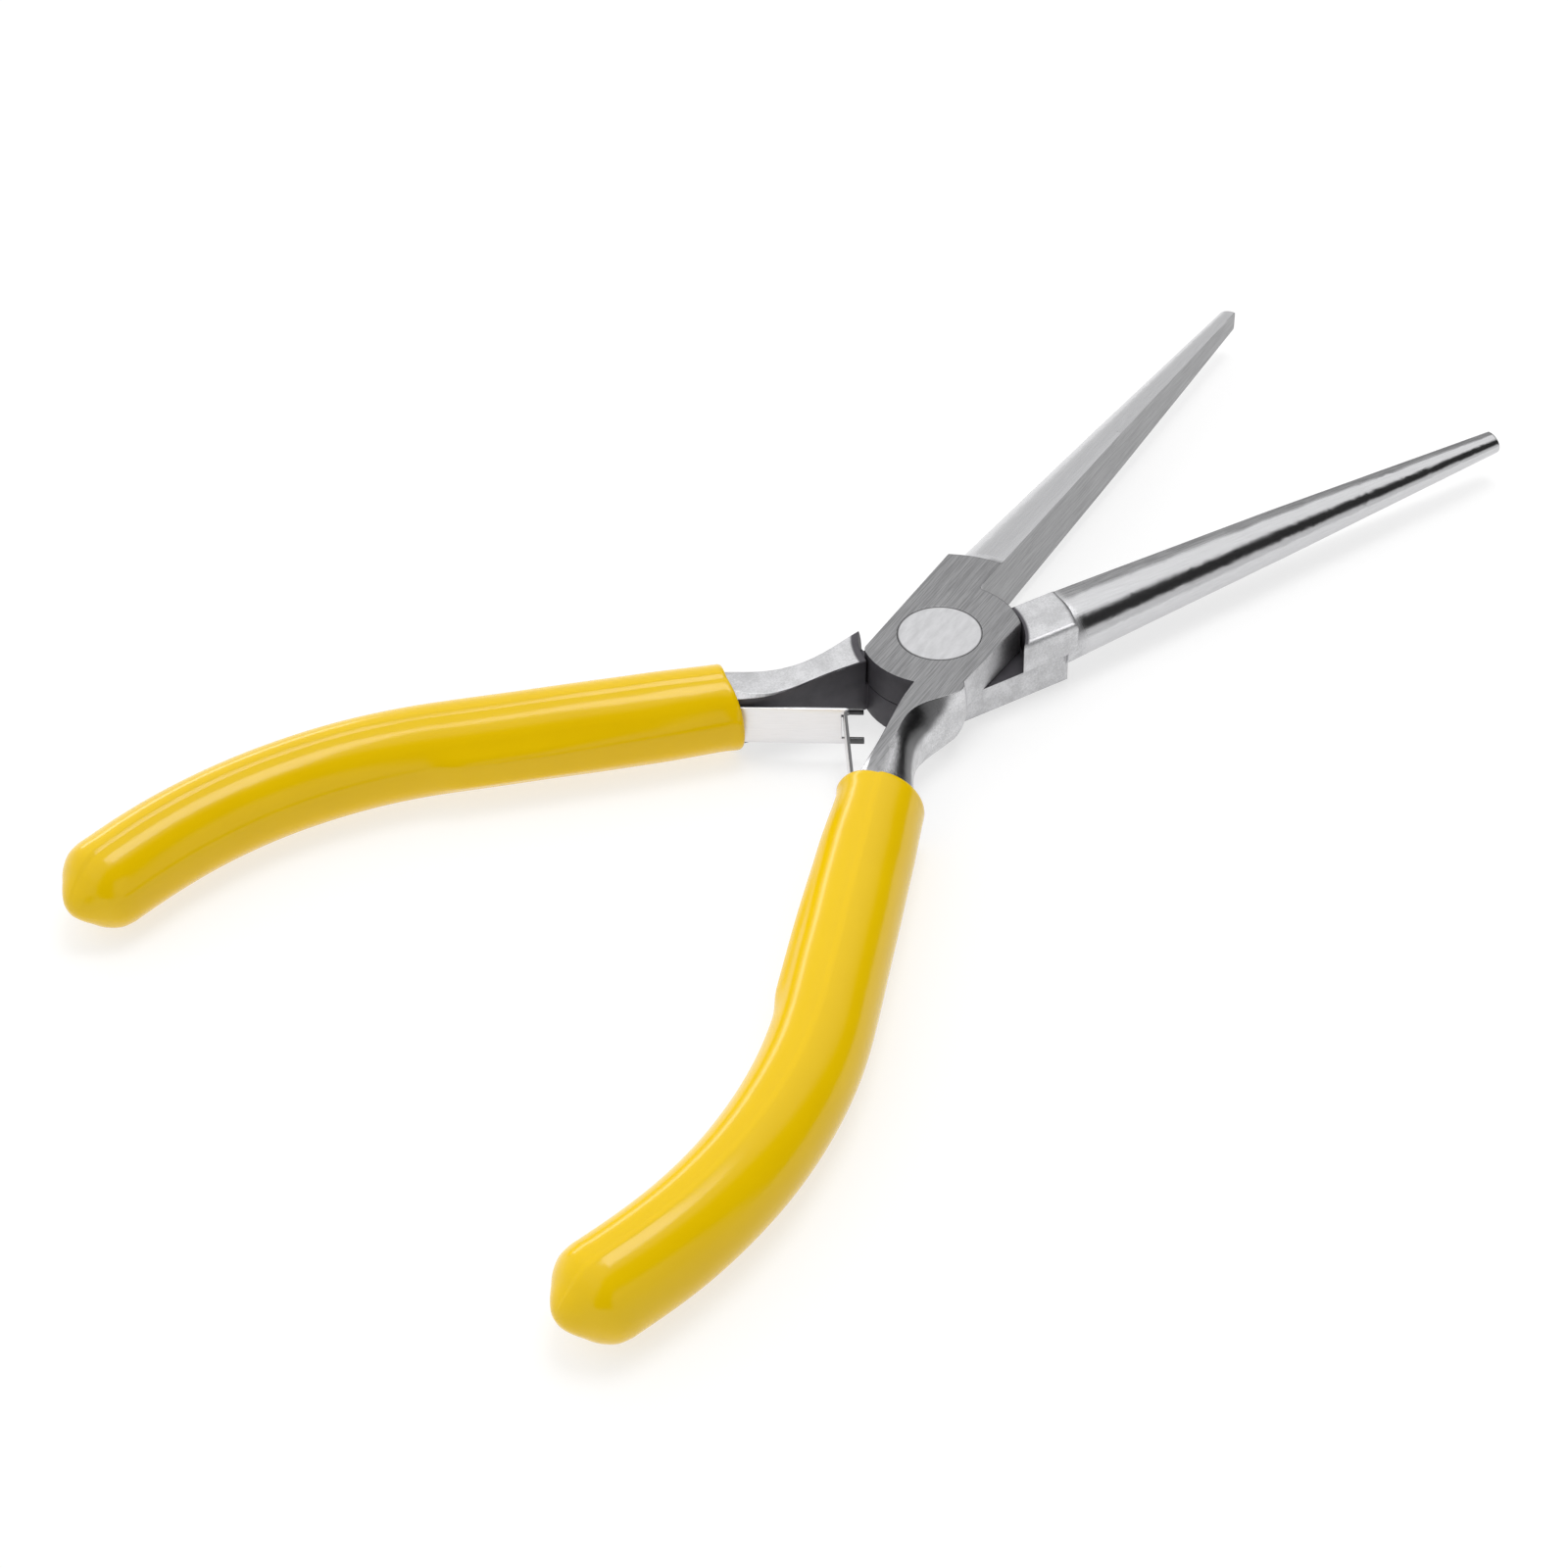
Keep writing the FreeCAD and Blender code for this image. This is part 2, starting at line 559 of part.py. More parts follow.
def add_grip_cap(body):
    """Domed closed end with the blunt nub that dipping leaves."""
    sketch = new_sketch(body, "XY_Plane", "cap_profile")
    end = bend_point(TURN) + END_WAY * size("handle_end")
    turned = FreeCAD.Rotation(FreeCAD.Vector(0, 0, 1), math.degrees(math.atan2(END_WAY.y, END_WAY.x)))
    sketch.AttachmentOffset = FreeCAD.Placement(end, turned)
    radius, depth, nub = size("grip_radius"), size("cap_depth"), size("nub_radius")
    length = size("nub_length")
    lean = math.pi / 4
    cap_middle = (depth * math.sin(lean), nub + (radius - nub) * math.cos(lean))
    ball_centre = (length ** 2 - depth ** 2 - nub ** 2) / (2 * (length - depth))
    ball_turn = math.atan2(nub, depth - ball_centre) / 2
    ball_radius = length - ball_centre
    nub_middle = (ball_centre + ball_radius * math.cos(ball_turn), ball_radius * math.sin(ball_turn))
    first = closed_outline(sketch, (0, 0), [
        ((0, radius),),
        (cap_middle, (depth, nub)),
        (nub_middle, (length, 0)),
        ((0, 0),),
    ])
    sketch.addConstraint(Sketcher.Constraint("Coincident", first, 1, -1, 1))
    sketch.addConstraint(Sketcher.Constraint("Vertical", first))
    sketch.addConstraint(Sketcher.Constraint("Horizontal", first + 3))
    sketch.addConstraint(Sketcher.Constraint("PointOnObject", first + 2, 3, -1))
    bind(sketch, Sketcher.Constraint("DistanceY", -1, 1, first, 2, radius), "dims.grip_radius")
    bind(sketch, Sketcher.Constraint("DistanceX", -1, 1, first + 3, 1, length), "dims.nub_length")
    cap = feature(body, "PartDesign::Revolution", "cap", sketch)
    cap.ReferenceAxis = (sketch, ["H_Axis"])
    cap.Angle = 360


def add_grip_bulge(body):
    """The sleeve stands out where the leaf spring lies under it."""
    sketch = across_handle(body, "bulge_outline", size("grip_mouth"))
    half, shoulder = size("bulge_half_width"), size("bulge_shoulder")
    first = closed_outline(sketch, (0, -half), [
        ((shoulder, -half),),
        ((size("bulge_height"), 0), (shoulder, half)),
        ((0, half),),
        ((0, -half),),
    ])
    vertex_at(sketch, first, 2, shoulder, "dims.bulge_shoulder", -half, "-dims.bulge_half_width")
    vertex_at(sketch, first + 2, 1, shoulder, "dims.bulge_shoulder", half, "dims.bulge_half_width")
    bulge = feature(body, "PartDesign::Pad", "bulge", sketch)
    bulge.Reversed = True
    bulge.setExpression("Length", "dims.bulge_length")


def tube(body, kind, name, radius, first_along, end_cut):
    profile = across_handle(body, name + "_profile", first_along)
    circle(profile, (0, 0), size(radius), "dims." + radius)
    pipe = feature(body, kind, name, profile)
    pipe.Spine = (handle_path(body, name + "_path", first_along, end_cut), ["Edge1", "Edge2", "Edge3"])
    pipe.Mode = "Frenet"


def grip(label):
    body = new_body(label)
    mouth = size("grip_mouth")
    tube(body, "PartDesign::AdditivePipe", "sleeve", "grip_radius", mouth, 0.0)
    add_grip_cap(body)
    add_grip_bulge(body)
    doc.recompute()
    tube(body, "PartDesign::SubtractivePipe", "bore", "grip_bore", mouth - 1, size("handle_end") / 2)
    doc.recompute()
    return body


# ---- leaf springs ----

BEND = math.radians(size("leaf_bend"))
LEAF_LINE = size("tang_inner") + size("leaf_thickness") / 2
LEAF_RADIUS = size("leaf_bend_radius")
FREE_WAY = (INWARD * math.sin(BEND) - ALONG * math.cos(BEND))


def leaf_bend_point(turn):
    centre = on_handle(size("leaf_bend_start"), LEAF_LINE + LEAF_RADIUS)
    return centre - (ALONG * math.sin(turn) + INWARD * math.cos(turn)) * LEAF_RADIUS


LEAF_FREE_START = leaf_bend_point(BEND)


def crossing():
    """How far along the free part a leaf meets its twin, at the rest opening."""
    opening = math.radians(size("half_opening"))
    height = LEAF_FREE_START.x * math.sin(opening) + LEAF_FREE_START.y * math.cos(opening)
    rise = math.sin(SLOPE + BEND + opening)
    return -height / rise


def leaf_face_sketch(body, name, reach):
    """A sketch on the leaf's middle surface: x points to the tip, y up."""
    sketch = new_sketch(body, "XZ_Plane", name)
    place = LEAF_FREE_START + FREE_WAY * reach
    turned = FreeCAD.Rotation(FreeCAD.Vector(0, 1, 0), size("handle_slope") + size("leaf_bend"))
    sketch.AttachmentOffset = FreeCAD.Placement(FreeCAD.Vector(place.x, 0, -place.y), turned)
    sketch.setExpression("AttachmentOffset.Rotation.Angle", "dims.handle_slope + dims.leaf_bend")
    return sketch


def square_outline(sketch, corners):
    """Closed outline whose sides all run along x or y."""
    after = corners[1:] + corners[:1]
    first = closed_outline(sketch, corners[0], [(corner,) for corner in after])
    for side, (a, b) in enumerate(zip(corners, after)):
        way = "Vertical" if abs(a[0] - b[0]) < NEAR else "Horizontal"
        sketch.addConstraint(Sketcher.Constraint(way, first + side))
    return first


def rectangle(sketch, low_x, high_x, low_y, high_y):
    return square_outline(sketch, [(low_x, low_y), (high_x, low_y), (high_x, high_y), (low_x, high_y)])


def cut_through_leaf(body, name, sketch):
    pocket = feature(body, "PartDesign::Pocket", name, sketch)
    pocket.Midplane = True
    pocket.Type = "ThroughAll"


def cut_tongue(body):
    """Narrow the tip to a short tongue, its shoulders set back so that they clear the other leaf."""
    sketch = leaf_face_sketch(body, "tongue_outline", crossing() - size("tongue_set_back"))
    reach = size("tongue_set_back") + size("tongue_reach")
    past, tongue, edge = size("leaf_free"), size("tongue_width") / 2, size("leaf_width")
    square_outline(sketch, [
        (0, tongue), (reach, tongue), (reach, -tongue), (0, -tongue),
        (0, -edge), (past, -edge), (past, edge), (0, edge)])
    cut_through_leaf(body, "tongue", sketch)


def cut_slot(body):
    """A slot from just before the crossing out through the tip, for the other leaf's tongue."""
    sketch = leaf_face_sketch(body, "slot_outline", crossing() - size("slot_set_back"))
    half_width = size("slot_width") / 2
    rectangle(sketch, 0, size("leaf_free"), -half_width, half_width)
    cut_through_leaf(body, "slot", sketch)


def leaf_spring(label, cut_tip):
    body = new_body(label)
    profile = across_handle(body, "leaf_profile", size("leaf_tail"), LEAF_LINE)
    half_thick, half_wide = size("leaf_thickness") / 2, size("leaf_width") / 2
    first = rectangle(profile, -half_thick, half_thick, -half_wide, half_wide)
    vertex_at(profile, first, 1, -half_thick, "-dims.leaf_thickness / 2", -half_wide, "-dims.leaf_width / 2")
    vertex_at(profile, first + 2, 1, half_thick, "dims.leaf_thickness / 2", half_wide, "dims.leaf_width / 2")
    path = new_sketch(body, "XY_Plane", "leaf_path")
    bend = leaf_bend_point(0)
    tip = LEAF_FREE_START + FREE_WAY * size("leaf_free")
    path.addGeometry(Part.LineSegment(on_handle(size("leaf_tail"), LEAF_LINE), bend), False)
    path.addGeometry(Part.Arc(bend, leaf_bend_point(BEND / 2), LEAF_FREE_START), False)
    path.addGeometry(Part.LineSegment(LEAF_FREE_START, tip), False)
    path.addConstraint(Sketcher.Constraint("Coincident", 0, 2, 1, 1))
    path.addConstraint(Sketcher.Constraint("Coincident", 1, 2, 2, 1))
    bind(path, Sketcher.Constraint("Radius", 1, LEAF_RADIUS), "dims.leaf_bend_radius")
    bind(path, Sketcher.Constraint("Distance", 2, size("leaf_free")), "dims.leaf_free")
    strip = feature(body, "PartDesign::AdditivePipe", "strip", profile)
    strip.Spine = (path, ["Edge1", "Edge2", "Edge3"])
    strip.Mode = "Frenet"
    doc.recompute()
    hole = rivet_place_sketch(body, "leaf_hole_outline", LEAF_LINE)
    fit = size("spring_rivet_radius") + size("rivet_clearance")
    circle(hole, (0, 0), fit, "dims.spring_rivet_radius + dims.rivet_clearance")
    cut_through_leaf(body, "leaf_hole", hole)
    cut_tip(body)
    doc.recompute()
    return body


def spring_rivet(label):
    """Small rivet that holds a leaf's tail on the flat of the tang."""
    body = new_body(label)
    steps = (
        ("stem", "spring_rivet_radius", "tang_inner", "dims.spring_rivet_length", False),
        ("neck", "spring_rivet_radius", "tang_inner", "dims.leaf_thickness", True),
        ("head", "spring_rivet_head_radius", "leaf_top", "dims.spring_rivet_head_depth", True),
    )
    levels = {
        "tang_inner": size("tang_inner"),
        "leaf_top": size("tang_inner") + size("leaf_thickness"),
    }
    for name, radius, level, length, outward in steps:
        sketch = rivet_place_sketch(body, name + "_outline", levels[level])
        circle(sketch, (0, 0), size(radius), "dims." + radius)
        pad = feature(body, "PartDesign::Pad", name, sketch)
        pad.Reversed = outward
        pad.setExpression("Length", length)
    doc.recompute()
    return body


# ---- assembly at rest: each half turned half the opening from closed ----

MIDDLE = FreeCAD.Vector(0, 0, size("half_thickness"))
Z_AXIS = FreeCAD.Vector(0, 0, 1)
TURNED_OVER = FreeCAD.Rotation(FreeCAD.Vector(1, 0, 0), 180)
OPEN = size("half_opening")
UPPER = FreeCAD.Placement(MIDDLE, FreeCAD.Rotation(Z_AXIS, OPEN))
LOWER = FreeCAD.Placement(MIDDLE, FreeCAD.Rotation(Z_AXIS, -OPEN) * TURNED_OVER)

pieces = []
for side, placement, spring, cut_tip in (
        ("upper", UPPER, "tongued_leaf_spring", cut_tongue),
        ("lower", LOWER, "slotted_leaf_spring", cut_slot)):
    members = [
        forged_half(side + "_half"),
        grip(side + "_grip"),
        leaf_spring(spring, cut_tip),
        spring_rivet(side + "_spring_rivet"),
    ]
    for member in members:
        member.Placement = placement
    pieces.extend(members)
rivet = pivot_rivet()
rivet.Placement = UPPER
pieces.append(rivet)
doc.recompute()

for item in doc.Objects:
    if "Invalid" in item.State or "Error" in item.State:
        raise SystemExit("failed object: %s %s" % (item.Name, item.State))
os.makedirs("parts", exist_ok=True)
for piece in pieces:
    shape = piece.Shape
    if shape.isNull() or not shape.isValid() or len(shape.Solids) != 1:
        raise SystemExit("bad shape: " + piece.Label)
    box = shape.BoundBox
    print("%-22s volume %8.2f  size %6.2f %6.2f %6.2f  low z %6.2f" % (
        piece.Label, shape.Volume, box.XLength, box.YLength, box.ZLength, box.ZMin))
for piece in pieces:
    piece.Shape.exportStep("parts/%s.step" % piece.Label)
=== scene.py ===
import json
import math

import bpy
from mathutils import Euler, Matrix, Vector, noise


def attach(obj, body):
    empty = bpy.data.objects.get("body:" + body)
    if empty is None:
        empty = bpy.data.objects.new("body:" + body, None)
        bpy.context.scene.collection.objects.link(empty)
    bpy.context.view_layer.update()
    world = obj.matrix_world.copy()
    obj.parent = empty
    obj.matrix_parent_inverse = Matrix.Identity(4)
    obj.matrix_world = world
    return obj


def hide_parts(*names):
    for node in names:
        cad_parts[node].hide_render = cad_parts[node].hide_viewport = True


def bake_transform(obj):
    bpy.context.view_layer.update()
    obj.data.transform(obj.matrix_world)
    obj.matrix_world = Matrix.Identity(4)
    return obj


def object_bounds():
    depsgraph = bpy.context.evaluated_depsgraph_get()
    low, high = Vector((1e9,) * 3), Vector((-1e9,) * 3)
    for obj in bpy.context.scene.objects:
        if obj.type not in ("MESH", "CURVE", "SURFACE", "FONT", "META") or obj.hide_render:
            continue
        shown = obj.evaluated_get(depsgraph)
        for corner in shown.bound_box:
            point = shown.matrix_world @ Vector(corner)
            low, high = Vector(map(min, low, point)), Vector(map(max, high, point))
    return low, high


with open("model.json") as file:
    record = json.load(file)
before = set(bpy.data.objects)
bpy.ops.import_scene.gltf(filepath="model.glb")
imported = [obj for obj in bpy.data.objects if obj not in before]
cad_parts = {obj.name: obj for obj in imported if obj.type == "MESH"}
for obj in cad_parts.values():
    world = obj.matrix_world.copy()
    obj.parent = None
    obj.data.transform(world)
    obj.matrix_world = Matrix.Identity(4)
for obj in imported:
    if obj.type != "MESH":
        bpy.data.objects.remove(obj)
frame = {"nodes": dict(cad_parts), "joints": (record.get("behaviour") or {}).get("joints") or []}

# Needle nose pliers. The steel pieces are the CAD nodes with their finishes; the vinyl sleeves and
# the leaf springs are modelled here.
# Lengths are in millimetres in each half's own frame (closed, jaw along +X, handle towards -X -Y,
# lap plane at z = 0) until place() puts them in the shared frame, in metres.

CAD_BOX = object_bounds()
MM = 0.001
UPPER, LOWER = "upper_side", "lower_side"
HALF_OPENING = math.radians(14.35)
MID_HEIGHT = frame["joints"][0]["pos_m"][2]
TURNS = {UPPER: (0.0, 0.0, HALF_OPENING), LOWER: (math.pi, 0.0, -HALF_OPENING)}

# Handle centreline, as in the CAD: straight, one large arc, a short straight end.
HANDLE_START = Vector((-20.5, -4.97, 0.0))
HANDLE_SLOPE = math.radians(20.06)
HANDLE_STRAIGHT = 26.9
HANDLE_RADIUS = 46.1
HANDLE_TURN = math.radians(39.0)
HANDLE_END = 2.4
HANDLE_LENGTH = HANDLE_STRAIGHT + HANDLE_RADIUS * HANDLE_TURN + HANDLE_END

GRIP_RADIUS = 4.2
GRIP_BORE = 3.5
GRIP_MOUTH = 0.2
BORE_FLAT = 2.95           # the bore's flat for the leaf, from the centreline
BORE_DOME = 1.6            # depth of the bore's rounded end
PAD_HEIGHT = 4.5           # the leaf spring lifts the sleeve this far from the centreline
PAD_SUNK = 0.35            # away from the leaf the pad lies this deep in the round sleeve
PAD_HALF_WIDTH = 1.95
PAD_CORNER = 1.2
PAD_BLEND = 0.7
PAD_RISE = (1.0, 20.0)
PAD_END = 29.0
PAD_FADE = 4.0
LIP_HEIGHT = 0.2
LIP_END = 1.8
LIP_ROUND = 0.35           # half the width of the rounded mouth
NECK_DEPTH = 0.12
NECK_INNER_DEPTH = 0.25    # the neck is deeper by this on the inner side
NECK = (8.0, 0.5)
WAVE_HEIGHT = 0.03
WAVES_ALONG = 0.16
WAVES_AROUND = 0.9
MOUTH_SLANT = (-0.3, -1.0, 0.2)  # the mouth's reach towards the pivot: all round, inner, outer side
MOUTH_SLANT_END = 12.0
CAP_PROFILE = ((0.0, 4.2), (1.15, 3.97), (2.2, 3.29), (2.98, 2.45), (3.68, 1.66), (4.2, 0.84),
               (4.4, 0.0))      # (past the handle's end, radius)

AROUND = 96                # points in each ring of a sleeve
DOME_RINGS = 7
BORE_RINGS = 60
LIP_RINGS = 6
NECK_RINGS = 84            # close together, where the lip, the neck and the pad begin
NECK_RING_STEP = 0.35
BODY_RINGS = 70
CAP_STEPS = 5
OUTLINE_WITHIN = (GRIP_RADIUS - 0.5, GRIP_RADIUS + 1.5)
OUTLINE_HALVINGS = 24

LEAF_THICKNESS = 0.3
LEAF_WIDTH = 4.2
LEAF_LINE = 2.25
LEAF_TAIL = 26.4
LEAF_BEND_START = 2.2
LEAF_BEND_RADIUS = 16.0
LEAF_BEND = math.radians(14.0)
LEAF_FREE = 10.7
SLOT_WIDTH = 2.9
SLOT_SET_BACK = 0.35
TONGUE_WIDTH = 2.3
TONGUE_SET_BACK = 0.45
TONGUE_REACH = 0.8
SPRING_RIVET_PLACE = 22.0
SPRING_RIVET_FIT = 0.74
RIVET_CUTTER_LENGTH = 4.0
RIVET_HOLE_SIDES = 32
LEAF_RIM = 0.05            # rounding of the leaf's sheared edges
LEAF_RIM_ANGLE = math.radians(40)
LEAF_SHARP_ANGLE = math.radians(35)
LEAF_CELLS = 96
LEAF_CELL_ROOM = 0.12      # no cut between cells comes this close to an edge of the slot or tongue


def place(side, point):
    """From a half's own frame in mm to the shared frame in metres."""
    turned = Euler(TURNS[side], "XYZ").to_matrix() @ (Vector(point) * MM)
    return turned + Vector((0.0, 0.0, MID_HEIGHT))


# ---- shapes ----

ALONG = Vector((-math.cos(HANDLE_SLOPE), -math.sin(HANDLE_SLOPE), 0.0))
INWARD = Vector((-math.sin(HANDLE_SLOPE), math.cos(HANDLE_SLOPE), 0.0))
UP = Vector((0.0, 0.0, 1.0))


def handle_point(length):
    """Centreline point and inward direction at this length from the handle's start."""
    turn = min(max((length - HANDLE_STRAIGHT) / HANDLE_RADIUS, 0.0), HANDLE_TURN)
    way = ALONG * math.cos(turn) + INWARD * math.sin(turn)
    inward = INWARD * math.cos(turn) - ALONG * math.sin(turn)
    if length <= HANDLE_STRAIGHT:
        return HANDLE_START + ALONG * length, inward
    bend_centre = HANDLE_START + ALONG * HANDLE_STRAIGHT + INWARD * HANDLE_RADIUS
    rest = max(length - HANDLE_STRAIGHT - HANDLE_RADIUS * HANDLE_TURN, 0.0)
    return bend_centre - inward * HANDLE_RADIUS + way * rest, inward


def smooth_step(value, low, high):
    t = min(max((value - low) / (high - low), 0.0), 1.0)
    return t * t * (3 - 2 * t)


def smooth_curve(points, steps):
    """Catmull-Rom curve through (x, y) points."""
    found = []
    for i in range(len(points) - 1):
        a = Vector(points[max(i - 1, 0)])
        b, c = Vector(points[i]), Vector(points[i + 1])
        d = Vector(points[min(i + 2, len(points) - 1)])
        for step in range(steps):
            t = step / steps
            found.append((b * 2 + (c - a) * t + (a * 2 - b * 5 + c * 4 - d) * t * t
                          + (b * 3 - a - c * 3 + d) * t ** 3) / 2)
    found.append(Vector(points[-1]))
    return found


def outside_pad(x, y, height):
    """Signed distance to the circle of the sleeve joined smoothly with the spring's flat pad."""
    circle = math.hypot(x, y) - GRIP_RADIUS
    over_x = max(abs(x) - (height - PAD_CORNER), 0.0)
    over_y = max(abs(y) - (PAD_HALF_WIDTH - PAD_CORNER), 0.0)
    pad = math.hypot(over_x, over_y) - PAD_CORNER if x > 0 else circle
    h = min(max(0.5 + 0.5 * (pad - circle) / PAD_BLEND, 0.0), 1.0)
    return pad + (circle - pad) * h - PAD_BLEND * h * (1 - h)


def sleeve_radius(angle, height):
    """Where a ray at this angle from the inward side leaves the sleeve's outline."""
    low, high = OUTLINE_WITHIN
    for _ in range(OUTLINE_HALVINGS):
        middle = (low + high) / 2
        if outside_pad(middle * math.cos(angle), middle * math.sin(angle), height) > 0:
            high = middle
        else:
            low = middle
    return low


def outer_radius(length, angle):
    """Sleeve radius with the spring's pad, the lifted lip and the slight waves of dipping."""
    step_off = smooth_step(length, PAD_END, PAD_END - PAD_FADE)
    swell = smooth_step(length, *PAD_RISE)
    height = GRIP_RADIUS - PAD_SUNK + (PAD_HEIGHT - GRIP_RADIUS + PAD_SUNK) * swell * step_off
    radius = sleeve_radius(angle, height)
    inner = max(math.cos(angle), 0.0) ** 2
    lip = LIP_HEIGHT * inner * smooth_step(length, LIP_END, GRIP_MOUTH)
    neck = -(NECK_DEPTH + NECK_INNER_DEPTH * inner) * smooth_step(length, *NECK)
    wave = WAVE_HEIGHT * noise.noise(Vector((
        length * WAVES_ALONG, math.cos(angle) * WAVES_AROUND, math.sin(angle) * WAVES_AROUND)))
    return radius + lip + neck + wave


def slanted(length, angle):
    """Lengths near the mouth lean towards the pivot."""
    across = math.cos(angle)
    everywhere, inner, outer = MOUTH_SLANT
    lean = everywhere + inner * max(across, 0.0) + outer * max(-across, 0.0)
    return length + lean * smooth_step(length, MOUTH_SLANT_END, GRIP_MOUTH)


def bore_radius(angle):
    """The bore is flattened on the inward side, where the leaf lies on the tang."""
    across = math.cos(angle)
    return min(GRIP_BORE, BORE_FLAT / across) if across > 0.01 else GRIP_BORE


def grip_rings():
    """Every ring as (length, kind, share of its radius), from the bore's end, over the lip, to the
    sleeve's end, with the lengths of the two closing points."""
    rings = []
    deep = HANDLE_LENGTH - HANDLE_END / 2
    lip = GRIP_MOUTH + LIP_ROUND
    for step in range(DOME_RINGS):
        turn = step / DOME_RINGS * math.pi / 2
        rings.append((deep + BORE_DOME * math.cos(turn), "bore", math.sin(turn)))
    for step in range(BORE_RINGS + 1):
        rings.append((deep + (lip - deep) * step / BORE_RINGS, "bore", 1.0))
    for step in range(1, LIP_RINGS):
        turn = step / LIP_RINGS * math.pi
        rings.append((lip - LIP_ROUND * math.sin(turn), "lip", (1 - math.cos(turn)) / 2))
    for step in range(NECK_RINGS):
        rings.append((lip + step * NECK_RING_STEP, "outer", 1.0))
    start = rings[-1][0]
    for step in range(1, BODY_RINGS + 1):
        rings.append((start + (HANDLE_LENGTH - start) * step / BODY_RINGS, "outer", 1.0))
    for past_end, radius in smooth_curve(CAP_PROFILE, CAP_STEPS)[1:-1]:
        rings.append((HANDLE_LENGTH + past_end, "outer", radius / GRIP_RADIUS))
    return rings, deep + BORE_DOME, HANDLE_LENGTH + CAP_PROFILE[-1][0]


def ring_radius(length, kind, share, angle):
    """Radius of a ring at this angle: share of it, or on the lip share of the way outwards."""
    if kind == "bore":
        return bore_radius(angle) * share
    if kind == "lip":
        return bore_radius(angle) * (1 - share) + outer_radius(length, angle) * share
    return outer_radius(min(length, HANDLE_LENGTH), angle) * share


def new_piece(name, vertices, faces):
    mesh = bpy.data.meshes.new(name)
    mesh.from_pydata([tuple(v) for v in vertices], [], faces)
    mesh.validate()
    piece = bpy.data.objects.new(name, mesh)
    bpy.context.scene.collection.objects.link(piece)
    return piece


def smooth_shade(piece):
    piece.data.polygons.foreach_set("use_smooth", [True] * len(piece.data.polygons))


def make_grip(name, side, node):
    """Closed sleeve, bore and outside, as rings around the handle's centreline."""
    rings, bore_end, tip = grip_rings()
    vertices = [place(side, handle_point(bore_end)[0])]
    for length, kind, share in rings:
        for i in range(AROUND):
            angle = 2 * math.pi * i / AROUND
            centre, inward = handle_point(slanted(length, angle))
            radius = ring_radius(length, kind, share, angle)
            outward = inward * math.cos(angle) + UP * math.sin(angle)
            vertices.append(place(side, centre + outward * radius))
    vertices.append(place(side, handle_point(tip)[0]))
    faces = []
    last = len(vertices) - 1
    for i in range(AROUND):
        after = (i + 1) % AROUND
        faces.append((0, 1 + i, 1 + after))
        faces.append((last, last - AROUND + after, last - AROUND + i))
        for ring in range(len(rings) - 1):
            a = 1 + ring * AROUND
            faces.append((a + i, a + AROUND + i, a + AROUND + after, a + after))
    piece = new_piece(name, vertices, faces)
    smooth_shade(piece)
    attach(piece, side)
    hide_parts(node)
    return piece


# A leaf lies on the tang from its tail, bends away from it, and ends in a straight free part.
LEAF_FREE_WAY = INWARD * math.sin(LEAF_BEND) - ALONG * math.cos(LEAF_BEND)
LEAF_BEND_CENTRE = HANDLE_START + ALONG * LEAF_BEND_START + INWARD * (LEAF_LINE + LEAF_BEND_RADIUS)
LEAF_FREE_START = LEAF_BEND_CENTRE - (
    ALONG * math.sin(LEAF_BEND) + INWARD * math.cos(LEAF_BEND)) * LEAF_BEND_RADIUS
LEAF_ARC = LEAF_BEND * LEAF_BEND_RADIUS
LEAF_BEND_AT = LEAF_TAIL - LEAF_BEND_START
LEAF_FREE_AT = LEAF_BEND_AT + LEAF_ARC
LEAF_LENGTH = LEAF_FREE_AT + LEAF_FREE


def leaf_point(length):
    """Middle surface of a leaf at this length from its tail, and its outward normal."""
    if length < LEAF_BEND_AT:
        return HANDLE_START + ALONG * (LEAF_TAIL - length) + INWARD * LEAF_LINE, INWARD
    turn = min((length - LEAF_BEND_AT) / LEAF_BEND_RADIUS, LEAF_BEND)
    normal = ALONG * math.sin(turn) + INWARD * math.cos(turn)
    point = LEAF_BEND_CENTRE - normal * LEAF_BEND_RADIUS
    return point + LEAF_FREE_WAY * max(length - LEAF_FREE_AT, 0.0), normal


def crossing():
    """Length from the tail where the two leaves cross, at rest."""
    height = (LEAF_FREE_START.x * math.sin(HALF_OPENING)
              + LEAF_FREE_START.y * math.cos(HALF_OPENING))
    return LEAF_FREE_AT - height / math.sin(HANDLE_SLOPE + LEAF_BEND + HALF_OPENING)


def leaf_cells(lengths, widths, is_open):
    """Cells (i, j) of the leaf's middle surface, without those that is_open leaves out."""
    cells = []
    for i in range(len(lengths) - 1):
        for j in range(len(widths) - 1):
            if not is_open((lengths[i] + lengths[i + 1]) / 2, (widths[j] + widths[j + 1]) / 2):
                cells.append((i, j))
    return cells


def apply_modifiers(piece):
    evaluated = piece.evaluated_get(bpy.context.evaluated_depsgraph_get())
    mesh = bpy.data.meshes.new_from_object(evaluated)
    piece.modifiers.clear()
    piece.data = mesh


